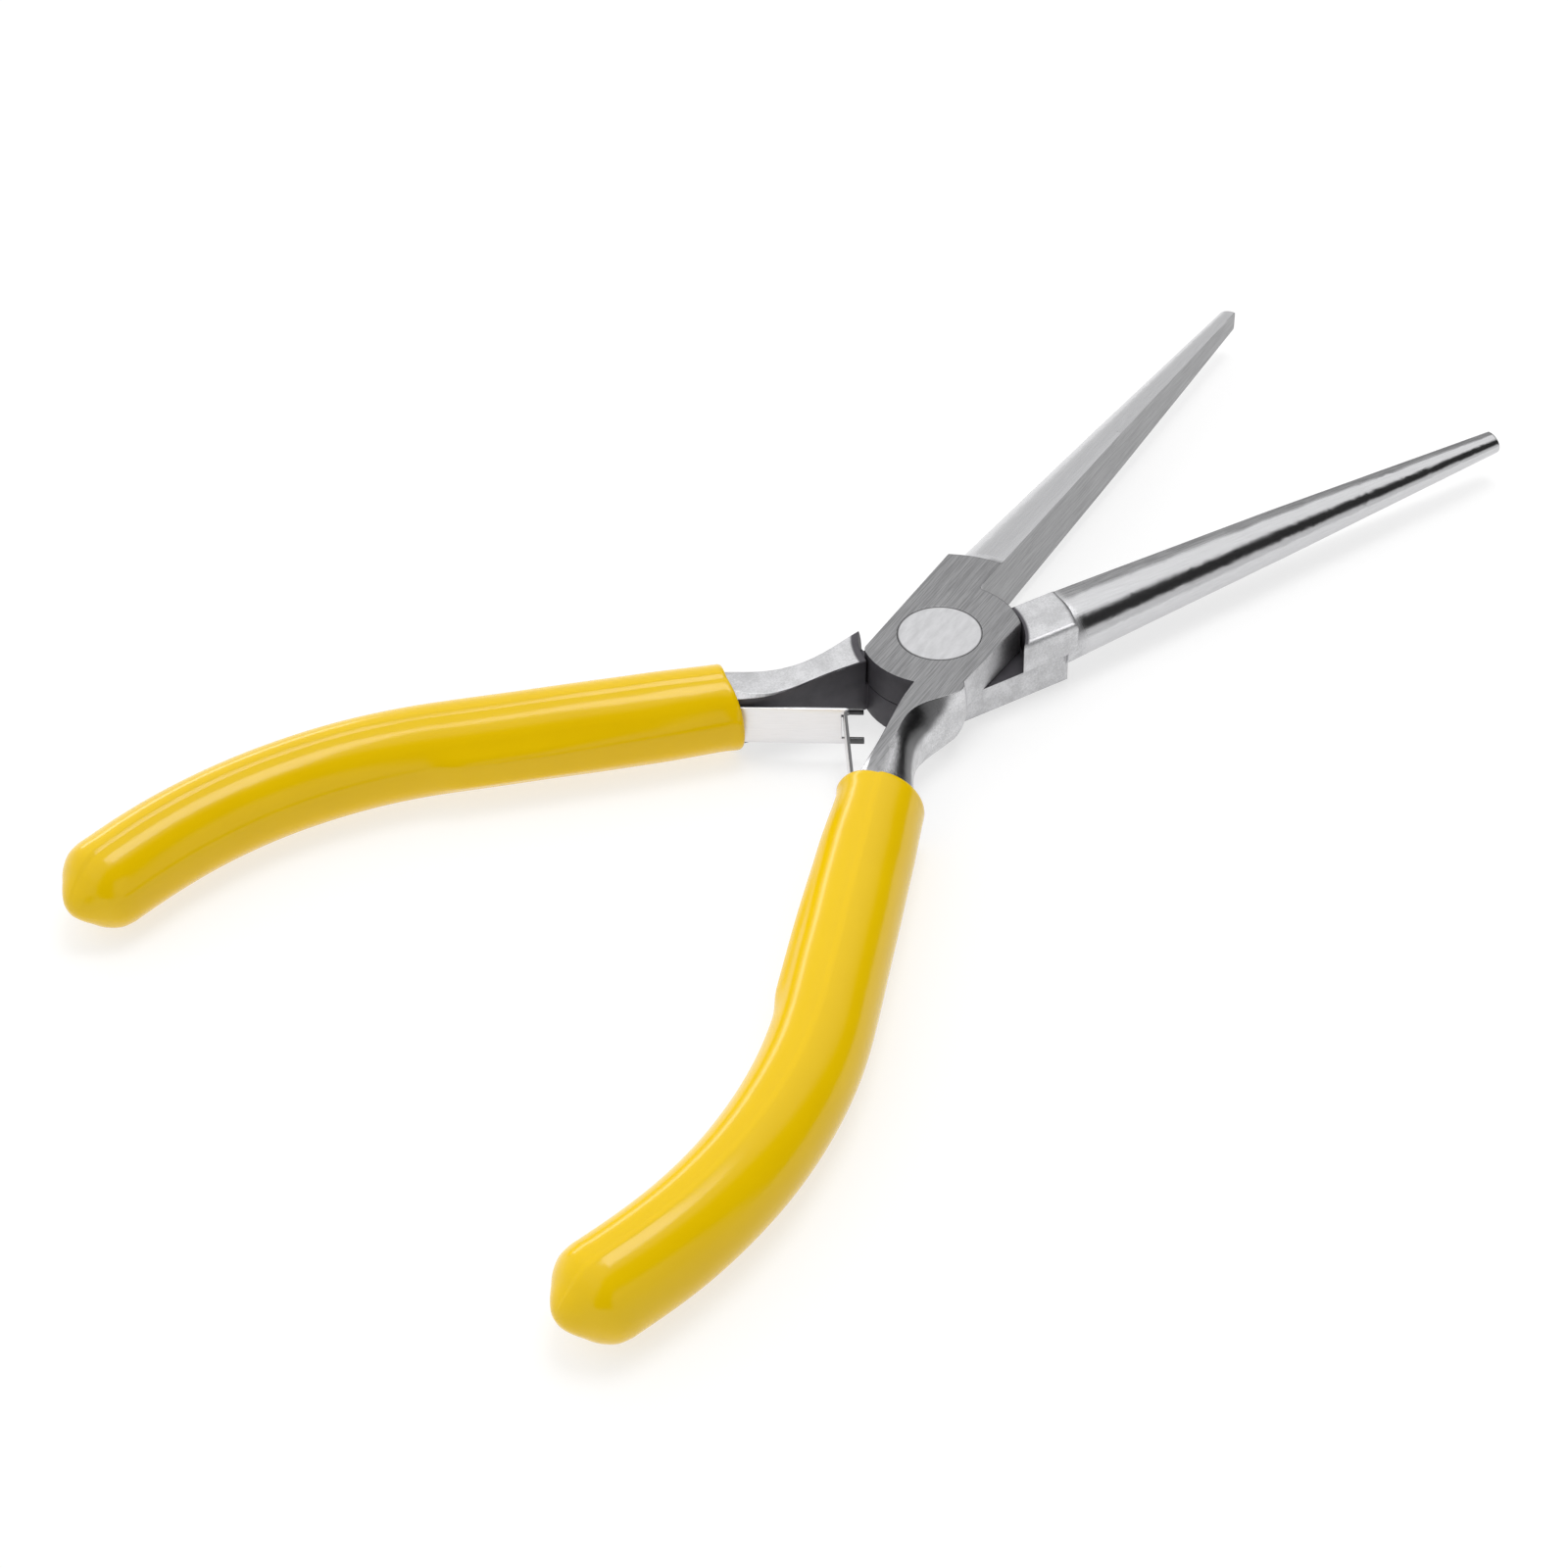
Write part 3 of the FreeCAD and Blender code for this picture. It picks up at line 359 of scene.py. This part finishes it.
def punch_rivet_hole(piece, side):
    """Round hole in the tail for the small rivet."""
    bpy.ops.mesh.primitive_cylinder_add(
        vertices=RIVET_HOLE_SIDES, radius=SPRING_RIVET_FIT * MM, depth=RIVET_CUTTER_LENGTH * MM)
    cutter = bpy.context.object
    point, normal = leaf_point(LEAF_TAIL - SPRING_RIVET_PLACE)
    cutter.location = place(side, point)
    out = place(side, point + normal) - place(side, point)
    cutter.rotation_mode = "QUATERNION"
    cutter.rotation_quaternion = out.to_track_quat("Z", "Y")
    cut = piece.modifiers.new("rivet_hole", "BOOLEAN")
    cut.operation = "DIFFERENCE"
    cut.object = cutter
    cut.solver = "EXACT"
    bpy.context.view_layer.update()
    apply_modifiers(piece)
    bpy.data.objects.remove(cutter)


def make_leaf(name, side, node, is_open, breaks, width_breaks):
    """Bent strip riveted to one half, cut out where is_open says, that bends towards the other."""
    half = LEAF_WIDTH / 2
    spaced = [LEAF_LENGTH * i / LEAF_CELLS for i in range(LEAF_CELLS + 1)]
    lengths = sorted(set(breaks) | {
        x for x in spaced if all(abs(x - b) > LEAF_CELL_ROOM for b in breaks)})
    widths = sorted({-half, half} | set(width_breaks))
    vertices = []
    for length in lengths:
        point = leaf_point(length)[0]
        vertices.extend(place(side, point + UP * width) for width in widths)
    wide = len(widths)
    faces = [(i * wide + j, i * wide + j + 1, (i + 1) * wide + j + 1, (i + 1) * wide + j)
             for i, j in leaf_cells(lengths, widths, is_open)]
    used = sorted({v for face in faces for v in face})
    renumber = {v: i for i, v in enumerate(used)}
    piece = new_piece(name, [vertices[v] for v in used], [[renumber[v] for v in f] for f in faces])
    thick = piece.modifiers.new("thickness", "SOLIDIFY")
    thick.thickness = LEAF_THICKNESS * MM
    thick.offset = 0.0
    apply_modifiers(piece)
    punch_rivet_hole(piece, side)
    rim = piece.modifiers.new("rim", "BEVEL")
    rim.width = LEAF_RIM * MM
    rim.segments = 2
    rim.limit_method = "ANGLE"
    rim.angle_limit = LEAF_RIM_ANGLE
    apply_modifiers(piece)
    smooth_shade(piece)
    piece.data.set_sharp_from_angle(angle=LEAF_SHARP_ANGLE)
    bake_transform(piece)
    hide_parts(node)
    return piece


def make_leaves():
    at = crossing()
    slot_start = at - SLOT_SET_BACK
    shoulder = at - TONGUE_SET_BACK
    tongue_end = at + TONGUE_REACH
    tail_tip = [0.0, LEAF_LENGTH]

    def in_slot(length, width):
        return length > slot_start and abs(width) < SLOT_WIDTH / 2

    def beside_tongue(length, width):
        return length > tongue_end or length > shoulder and abs(width) > TONGUE_WIDTH / 2

    slotted = make_leaf("slotted_spring", LOWER, "slotted_leaf_spring", in_slot,
                        tail_tip + [slot_start], (-SLOT_WIDTH / 2, SLOT_WIDTH / 2))
    tongued = make_leaf("tongued_spring", UPPER, "tongued_leaf_spring", beside_tongue,
                        tail_tip + [shoulder, tongue_end], (-TONGUE_WIDTH / 2, TONGUE_WIDTH / 2))
    return slotted, tongued


# ---- materials ----

# Where each finish starts and where it is complete, in mm.
EAR_TOP_Z = (3.2, 3.42)
EAR_FRONT_X = (13.2, 12.6)
JAW_FACE_X = (8.0, 9.0)
CONE_X = (12.4, 13.9)
PLAIN_CONE_X = (66.0, 64.0)    # beyond this the edges of the jaw's tip are rounded
WAIST_WALL_X = (-3.0, -6.5)
EAR_BACK_X = (-3.5, -5.5)
RECESS_FLOOR_Z = (0.6, 0.3)
JOINT_REACH = (8.6, 8.3)
DARK_REFLECTION_X = (-5.5, -8.5)
SMOOTH_SHANK_X = (-4.0, -7.0)
RIVET_RIM_INSIDE = (3.84, 3.96)
RIVET_RIM_OUTSIDE = (4.3, 4.1)
BEYOND_CROSSING_RAMP = 0.3

# The same for how squarely a surface faces a direction: 1 is straight towards it, -1 away.
TOP_FACING = (0.85, 0.98)
JAW_FACING = (-0.9, -0.98)
WAIST_WALL_FACING = (0.45, 0.75)
INTO_RECESS = (-0.7, -0.9)
OUT_OF_EAR = (0.9, 0.97)
RIDGE_SIDEWAYS = (0.18, 0.08)
RIDGE_DOWNWARDS = (-0.5, -0.8)
DARK_REFLECTION_FROM_SIDE = (0.2, 0.42)
DARK_REFLECTION_TO_TOP = (0.86, 0.68)
DARK_REFLECTION_OUTWARDS = (-0.15, -0.45)
EDGE_FACING = (0.5, 0.8)

STEEL_EDGE = 0.12          # rounding of the forgings' edges in the shading
RIVET_EDGE = 0.08
EDGE_SAMPLES = 6
BLASTED_RELIEF = 0.03      # depth of the bumps in the shading
MACHINED_RELIEF = 0.006
STRIP_RELIEF = 0.004
VINYL_RELIEF = 0.01

# Stretch of a noise into lines: small along them, large across.
GRINDING = (0.25, 9.0, 9.0)
FINE_GRINDING = (0.5, 26.0, 26.0)
PEENING = (0.5, 1.4, 1.4)
ROLLING = (0.5, 0.5, 14.0)

# The first two are the painted shade in the joint's recess and on the waist's inner wall, coloured
# like dark forging scale.
PAINTED_SHADE_DARK = (0.03, 0.028, 0.034, 1.0)
PAINTED_SHADE_PALE = (0.1, 0.094, 0.108, 1.0)
VINYL_DEEP = (0.82, 0.525, 0.0, 1.0)
VINYL_LIGHT = (0.88, 0.585, 0.0, 1.0)
VINYL_SCUFF = (0.6, 0.38, 0.02, 1.0)
FLOOR_DARK = (0.32, 0.32, 0.32, 1.0)
FLOOR_PALE = (0.35, 0.35, 0.35, 1.0)


class Nodes:
    """A node tree that is written as calls that return sockets."""

    def __init__(self, tree):
        self.tree = tree

    def node(self, kind, inputs=(), **settings):
        made = self.tree.nodes.new("ShaderNode" + kind)
        for key, value in settings.items():
            setattr(made, key, value)
        for key, value in dict(inputs).items():
            self.feed(made.inputs[key], value)
        return made

    def feed(self, socket, value):
        if isinstance(value, bpy.types.NodeSocket):
            self.tree.links.new(value, socket)
        else:
            socket.default_value = value

    def split(self, vector):
        return self.node("SeparateXYZ", {0: vector}).outputs[:3]

    def math(self, operation, a, b=0.0, clamp=False):
        return self.node("Math", {0: a, 1: b}, operation=operation, use_clamp=clamp).outputs[0]

    def product(self, first, *others):
        for other in others:
            first = self.math("MULTIPLY", first, other)
        return first

    def largest(self, first, *others):
        for other in others:
            first = self.math("MAXIMUM", first, other)
        return first

    def stretch(self, vector, factors):
        return self.node("VectorMath", {0: vector, 1: factors}, operation="MULTIPLY").outputs[0]

    def between(self, value, low, high):
        """Smooth change from 0 to 1 as value goes from low to high."""
        return self.node("MapRange", {"Value": value, "From Min": low, "From Max": high},
                         interpolation_type="SMOOTHSTEP").outputs["Result"]

    def mix_kind(self, kind, first_input, output, share, a, b):
        made = self.node("Mix", {0: share, first_input: a, first_input + 1: b}, data_type=kind)
        return made.outputs[output]

    def mix(self, share, a, b):
        return self.mix_kind("FLOAT", 2, 0, share, a, b)

    def mix_vector(self, share, a, b):
        return self.mix_kind("VECTOR", 4, 1, share, a, b)

    def mix_colour(self, share, a, b):
        return self.mix_kind("RGBA", 6, 2, share, a, b)

    def noise(self, vector, scale=1.0, detail=3.0, roughness=0.5):
        return self.node("TexNoise", {
            "Vector": vector, "Scale": scale, "Detail": detail, "Roughness": roughness,
        }).outputs["Fac"]


class Finish(Nodes):
    """A material in a half's own frame."""

    def __init__(self, name):
        self.material = bpy.data.materials.new(name)
        self.material.use_nodes = True
        super().__init__(self.material.node_tree)
        self.shader = self.tree.nodes["Principled BSDF"]

    def position_in(self, side):
        """Position in mm."""
        return self.node("Mapping", {
            "Vector": self.node("TexCoord").outputs["Object"], "Location": (0.0, 0.0, MID_HEIGHT),
            "Rotation": TURNS[side], "Scale": (MM, MM, MM),
        }, vector_type="TEXTURE").outputs[0]

    def facing_in(self, side, which="True Normal"):
        """The facets' own normal, or the smooth one where which is Normal."""
        facing = self.node("VectorTransform", {"Vector": self.node("NewGeometry").outputs[which]},
                           vector_type="NORMAL", convert_from="WORLD", convert_to="OBJECT")
        return self.node("Mapping", {"Vector": facing.outputs[0], "Rotation": TURNS[side]},
                         vector_type="TEXTURE").outputs[0]

    def from_pivot(self, position):
        """Distance from the pivot's axis."""
        return self.node("VectorMath", {0: self.stretch(position, (1.0, 1.0, 0.0))},
                         operation="LENGTH").outputs["Value"]

    def rounded_edges(self, radius):
        return self.node("Bevel", {"Radius": radius * MM}, samples=EDGE_SAMPLES).outputs[0]

    def bump(self, height, distance, strength, normal=None):
        made = self.node("Bump", {"Height": height, "Distance": distance, "Strength": strength})
        if normal is not None:
            self.feed(made.inputs["Normal"], normal)
        return made.outputs["Normal"]

    def set(self, **sockets):
        for key, value in sockets.items():
            self.feed(self.shader.inputs[key.replace("_", " ")], value)


def grey(value, warm=0.0):
    """Steel's grey, with a trace of blue or a little warmer."""
    return (value * (1 + warm), value, value * (1 - warm) * 1.02, 1.0)


def ground_and_shaded_ridge_mask(f, side, coordinates, facing, smooth, cone):
    """The ear's top and the jaw's flat face, which are ground, and on the lower half the jaw's
    ridge, which gets the ground colour as painted shade.
    """
    x, _, z = coordinates
    _, ny, nz = facing
    _, smooth_ny, smooth_nz = smooth
    ear_top = f.product(f.between(nz, *TOP_FACING), f.between(z, *EAR_TOP_Z),
                        f.between(x, *EAR_FRONT_X))
    jaw_face = f.product(f.between(ny, *JAW_FACING), f.between(x, *JAW_FACE_X))
    if side == UPPER:
        return f.largest(ear_top, jaw_face)
    # Painted shade: the lower jaw's ridge takes the darker ground colour.
    ridge = f.product(f.between(smooth_ny, *RIDGE_SIDEWAYS),
                      f.between(smooth_nz, *RIDGE_DOWNWARDS), cone)
    return f.largest(ear_top, jaw_face, ridge)


def painted_shade_mask(f, coordinates, facing, away):
    """Painted shade: the waist's inner wall, the recess and the edge of the ear behind the pivot.
    """
    x, y, z = coordinates
    nx, ny, nz = facing
    inner_wall = f.product(f.between(ny, *WAIST_WALL_FACING), f.between(x, *WAIST_WALL_X))
    outward = f.math("DIVIDE", f.math("ADD", f.product(x, nx), f.product(y, ny)), away)
    recess_wall = f.between(outward, *INTO_RECESS)
    recess_floor = f.product(f.between(nz, *INTO_RECESS), f.between(z, *RECESS_FLOOR_Z))
    ear_back = f.product(f.between(outward, *OUT_OF_EAR), f.between(x, *EAR_BACK_X))
    in_joint = f.largest(recess_wall, recess_floor, ear_back)
    return f.largest(inner_wall, f.product(in_joint, f.between(away, *JOINT_REACH)))


def dark_reflection_mask(f, x, smooth):
    """Painted reflection: the dark band along the outer side of the shank, between its side and its
    top.
    """
    _, ny, nz = smooth
    return f.product(f.between(nz, *DARK_REFLECTION_FROM_SIDE), f.between(nz, *DARK_REFLECTION_TO_TOP),
                     f.between(ny, *DARK_REFLECTION_OUTWARDS), f.between(x, *DARK_REFLECTION_X))


def steel_finish(name, side):
    """Ground ears and jaw faces, polished cones, blasted shoulders, dark painted shade inside the
    joint and on the waist's inner wall, a painted dark reflection along the shank and, on the lower
    half, painted shade on the jaw's ridge.
    """
    f = Finish(name)
    position = f.position_in(side)
    coordinates = f.split(position)
    x = coordinates[0]
    facing = f.split(f.facing_in(side))
    smooth = f.split(f.facing_in(side, "Normal"))
    cone = f.between(x, *CONE_X)
    # flat: the ground faces, and on the lower half the jaw's ridge with its painted shade.
    flat = ground_and_shaded_ridge_mask(f, side, coordinates, facing, smooth, cone)
    # dark: where painted shade goes, in the joint's recess and on the waist's inner wall.
    dark = painted_shade_mask(f, coordinates, facing, f.from_pivot(position))
    dark_reflection = dark_reflection_mask(f, x, smooth)

    lines = f.noise(f.stretch(position, GRINDING), detail=4.0, roughness=0.65)
    fine_lines = f.noise(f.stretch(position, FINE_GRINDING), detail=2.0)
    cloud = f.noise(position, scale=0.55, detail=5.0, roughness=0.6)
    grain = f.noise(position, scale=5.5, detail=5.0, roughness=0.7)
    pits = f.between(f.noise(position, scale=3.2, detail=3.0), 0.64, 0.74)

    speckle = f.between(f.mix(0.55, cloud, grain), 0.36, 0.64)
    blasted = f.mix_colour(speckle, grey(0.48), grey(0.68))
    blasted = f.mix_colour(f.product(pits, 0.3), blasted, grey(0.36))
    polished = f.mix_colour(lines, grey(0.52), grey(0.68))
    # Ground steel colour, also the painted shade on the lower jaw's ridge.
    ground_and_ridge_shade = f.mix_colour(f.between(lines, 0.3, 0.7), grey(0.21), grey(0.35))
    # scale: the colour of that painted shade, as dark as forging scale.
    scale = f.mix_colour(cloud, PAINTED_SHADE_DARK, PAINTED_SHADE_PALE)
    colour = f.mix_colour(cone, blasted, polished)
    colour = f.mix_colour(flat, colour, ground_and_ridge_shade)
    # Painted dark reflection along the shank's outer side.
    colour = f.mix_colour(f.product(dark_reflection, 0.85), colour, grey(0.06))
    colour = f.mix_colour(dark, colour, scale)

    rough = f.mix(grain, 0.42, 0.55)
    if side == UPPER:
        rough = f.mix(f.between(x, *SMOOTH_SHANK_X), rough, f.mix(grain, 0.2, 0.28))
    rough = f.mix(cone, rough, f.mix(fine_lines, 0.12, 0.19))
    rough = f.mix(flat, rough, f.mix(fine_lines, 0.24, 0.36))
    rough = f.mix(dark, rough, 0.5)

    machined = f.largest(cone, flat)
    plain = f.product(cone, f.between(x, *PLAIN_CONE_X))
    own_normal = f.node("NewGeometry").outputs["Normal"]
    rounded = f.mix_vector(plain, f.rounded_edges(STEEL_EDGE), own_normal)
    relief = f.mix(machined, BLASTED_RELIEF * MM, MACHINED_RELIEF * MM)
    bumped = f.bump(f.mix(machined, grain, fine_lines), relief, 0.5, rounded)
    f.set(Base_Color=colour, Metallic=f.mix(dark, 1.0, 0.3), Roughness=rough, Normal=bumped)
    return f.material


def rivet_finish():
    """Peened, lightly mottled rivet steel, with a painted shadow line round the head's rim."""
    f = Finish("peened_rivet")
    position = f.position_in(UPPER)
    streaks = f.noise(f.stretch(position, PEENING), detail=6.0, roughness=0.62)
    grain = f.noise(position, scale=4.0, detail=5.0, roughness=0.7)
    away = f.from_pivot(position)
    # Painted shadow: a dark ring at the head's rim, standing in for the gap round the rivet.
    rim = f.product(f.between(away, *RIVET_RIM_INSIDE), f.between(away, *RIVET_RIM_OUTSIDE))
    colour = f.mix_colour(streaks, grey(0.44), grey(0.7))
    colour = f.mix_colour(f.product(rim, 0.8), colour, grey(0.1))
    bumped = f.bump(f.mix(0.4, streaks, grain), BLASTED_RELIEF * MM, 0.5,
                    f.rounded_edges(RIVET_EDGE))
    f.set(Base_Color=colour, Metallic=1.0, Roughness=f.mix(grain, 0.46, 0.62), Normal=bumped)
    return f.material


def spring_finish(name, edge_value, side):
    """Plated strip with faint rolling lines; painted shade darkens the sheared edges, most on the
    upper leaf, and the free end past the crossing is darker.
    """
    f = Finish(name)
    past_crossing = leaf_point(crossing())[0].x
    own_x = f.split(f.position_in(side))[0]
    # Darker past the crossing.
    beyond_crossing = f.between(own_x, past_crossing, past_crossing + BEYOND_CROSSING_RAMP)
    position = f.position_in(UPPER)
    upwards = f.split(f.facing_in(UPPER))[2]
    # Painted shade on the edges; edge_value sets how dark for each leaf.
    edge = f.between(f.math("ABSOLUTE", upwards), *EDGE_FACING)
    lines = f.noise(f.stretch(position, ROLLING), detail=3.0)
    cloud = f.noise(position, scale=0.6, detail=3.0)
    colour = f.mix_colour(lines, grey(0.76, 0.01), grey(0.86, 0.01))
    colour = f.mix_colour(edge, colour, grey(edge_value))
    colour = f.mix_colour(beyond_crossing, colour, grey(0.1))
    f.set(Base_Color=colour, Metallic=1.0, Roughness=f.mix(cloud, 0.3, 0.42),
          Normal=f.bump(lines, STRIP_RELIEF * MM, 0.4))
    return f.material


def grip_finish():
    """Glossy dipped vinyl: slightly uneven colour, smooth gloss and faint scuffs."""
    f = Finish("yellow_vinyl")
    position = f.position_in(UPPER)
    cloud = f.noise(position, scale=0.12, detail=3.0)
    peel = f.noise(position, scale=0.8, detail=2.0)
    scuffs = f.between(f.noise(position, scale=2.4, detail=4.0, roughness=0.6), 0.68, 0.8)
    colour = f.mix_colour(cloud, VINYL_DEEP, VINYL_LIGHT)
    colour = f.mix_colour(f.product(scuffs, 0.05), colour, VINYL_SCUFF)
    f.set(Base_Color=colour, Roughness=f.mix(peel, 0.13, 0.19), Specular_IOR_Level=0.28,
          Normal=f.bump(peel, VINYL_RELIEF * MM, 0.2))
    return f.material


def finish_piece(piece, material):
    piece.data.materials.clear()
    piece.data.materials.append(material)


def make_pieces():
    """Finishes the CAD's steel pieces and adds the sleeves and the leaf springs."""
    nodes = frame["nodes"]
    finish_piece(nodes["upper_half"], steel_finish("ground_steel_upper", UPPER))
    finish_piece(nodes["lower_half"], steel_finish("ground_steel_lower", LOWER))
    rivet = rivet_finish()
    for name in ("pivot_rivet", "upper_spring_rivet", "lower_spring_rivet"):
        finish_piece(nodes[name], rivet)
    vinyl = grip_finish()
    finish_piece(make_grip("upper_sleeve", UPPER, "upper_grip"), vinyl)
    finish_piece(make_grip("lower_sleeve", LOWER, "lower_grip"), vinyl)
    # The upper leaf's edges get the darker painted shade.
    strips = (spring_finish("bright_strip", 0.7, LOWER),
              spring_finish("shade_edged_strip", 0.16, UPPER))
    for leaf, strip in zip(make_leaves(), strips):
        finish_piece(leaf, strip)


# ---- studio ----

VIEW_AZIMUTH = math.radians(-42.93)
VIEW_ELEVATION = math.radians(41.64)
VIEW_ROLL = math.radians(-2.59)
VIEW_DISTANCE = 0.27634
VIEW_LENS = 67.07
PIVOT_ASIDE = 0.01473      # the pivot stands this far right of the middle of the view
PIVOT_ABOVE = 0.01426      # and this far above it
NEAREST_SHOWN = 0.01

FLOOR_REACH = 6.0
FLOOR_GLOW = 0.68

# Brightness of what the metal mirrors, and where it changes, by direction from the middle.
DARK_SIDE = 0.03
FAR_SIDE = 0.8
CEILING = 1.1
LOW_WHITE = 0.9
BACKDROP = 0.94
FAR_SIDE_Y = (-0.38, -0.22)
NEAR_SIDE_Y = (-0.74, -0.84)
CEILING_Z = (0.5, 0.68)
LOW_WHITE_TOP = (0.03, 0.2)     # height of the white low down: near side, far side
DARK_PATCH_X = (0.74, 0.86)
DARK_PATCH_Z = (0.5, 0.35)

# name, place in metres, width, height, power, whether metal mirrors it; all look at the pivot
LIGHTS = (
    ("ceiling_box", (0.154, 0.04, 0.75), 0.3, 0.3, 1.7, True),
    ("far_strip", (0.23, 0.95, 0.2), 0.5, 0.12, 0.66, True),
    ("fill", (-0.1, -0.4, 0.9), 0.9, 0.9, 0.4, False),
)


def add_camera():
    back = Vector((math.sin(VIEW_AZIMUTH) * math.cos(VIEW_ELEVATION),
                   -math.cos(VIEW_AZIMUTH) * math.cos(VIEW_ELEVATION), math.sin(VIEW_ELEVATION)))
    level_right = Vector((math.cos(VIEW_AZIMUTH), math.sin(VIEW_AZIMUTH), 0.0))
    level_up = back.cross(level_right)
    right = level_right * math.cos(VIEW_ROLL) + level_up * math.sin(VIEW_ROLL)
    up = level_up * math.cos(VIEW_ROLL) - level_right * math.sin(VIEW_ROLL)
    pivot_top = Vector((0.0, 0.0, 2 * MID_HEIGHT))
    camera = bpy.data.objects.new("camera", bpy.data.cameras.new("camera"))
    camera.data.lens = VIEW_LENS
    camera.data.clip_start = NEAREST_SHOWN
    axes = Matrix((right, up, back)).transposed().to_4x4()
    at = pivot_top - right * PIVOT_ASIDE - up * PIVOT_ABOVE + back * VIEW_DISTANCE
    camera.matrix_world = Matrix.Translation(at) @ axes
    bpy.context.scene.collection.objects.link(camera)
    bpy.context.scene.camera = camera


def add_floor():
    f = Finish("pale_floor")
    spread = f.noise(f.node("TexCoord").outputs["Object"], scale=3.0)
    f.set(Base_Color=f.mix_colour(spread, FLOOR_DARK, FLOOR_PALE),
          Roughness=0.9, Emission_Color=(1.0, 1.0, 1.0, 1.0), Emission_Strength=FLOOR_GLOW)
    low = CAD_BOX[0].z
    corners = [(x * FLOOR_REACH, y * FLOOR_REACH, low)
               for x, y in ((-1, -1), (1, -1), (1, 1), (-1, 1))]
    floor = new_piece("floor", corners, [(0, 1, 2, 3)])
    floor.data.materials.append(f.material)


def add_light(name, place_at, wide, tall, power, mirrored):
    light = bpy.data.lights.new(name, "AREA")
    light.shape = "RECTANGLE"
    light.size, light.size_y = wide, tall
    light.energy = power
    box = bpy.data.objects.new(name, light)
    box.location = place_at
    box.visible_glossy = mirrored
    box.visible_camera = False
    box.rotation_mode = "QUATERNION"
    box.rotation_quaternion = (-Vector(place_at)).to_track_quat("-Z", "Y")
    bpy.context.scene.collection.objects.link(box)


def add_room():
    """What the metal mirrors: a bright far side under a brighter ceiling, a dark band towards -Y,
    white low down and a dark patch low on the right."""
    world = bpy.data.worlds.new("studio")
    world.use_nodes = True
    bpy.context.scene.world = world
    f = Nodes(world.node_tree)
    x, y, z = f.split(f.node("TexCoord").outputs["Generated"])
    far_side = f.between(y, *FAR_SIDE_Y)
    near_wall = f.mix(f.between(y, *NEAR_SIDE_Y), DARK_SIDE, FAR_SIDE)
    far_wall = f.mix(f.between(z, *CEILING_Z), FAR_SIDE, CEILING)
    walls = f.mix(far_side, near_wall, far_wall)
    low_top = f.mix(far_side, *LOW_WHITE_TOP)
    low = f.math("SUBTRACT", 1.0, f.math("DIVIDE", z, low_top), clamp=True)
    light = f.mix(low, walls, LOW_WHITE)
    dark_patch = f.product(f.between(x, *DARK_PATCH_X), f.between(z, *DARK_PATCH_Z))
    light = f.mix(dark_patch, light, DARK_SIDE)
    shown = f.mix(f.node("LightPath").outputs["Is Camera Ray"], light, BACKDROP)
    f.feed(f.tree.nodes["Background"].inputs["Color"], f.node("CombineColor", {
        "Red": shown, "Green": shown, "Blue": shown}).outputs[0])


make_pieces()
add_camera()
add_floor()
add_room()
for settings in LIGHTS:
    add_light(*settings)
bpy.context.scene.view_settings.view_transform = "Standard"
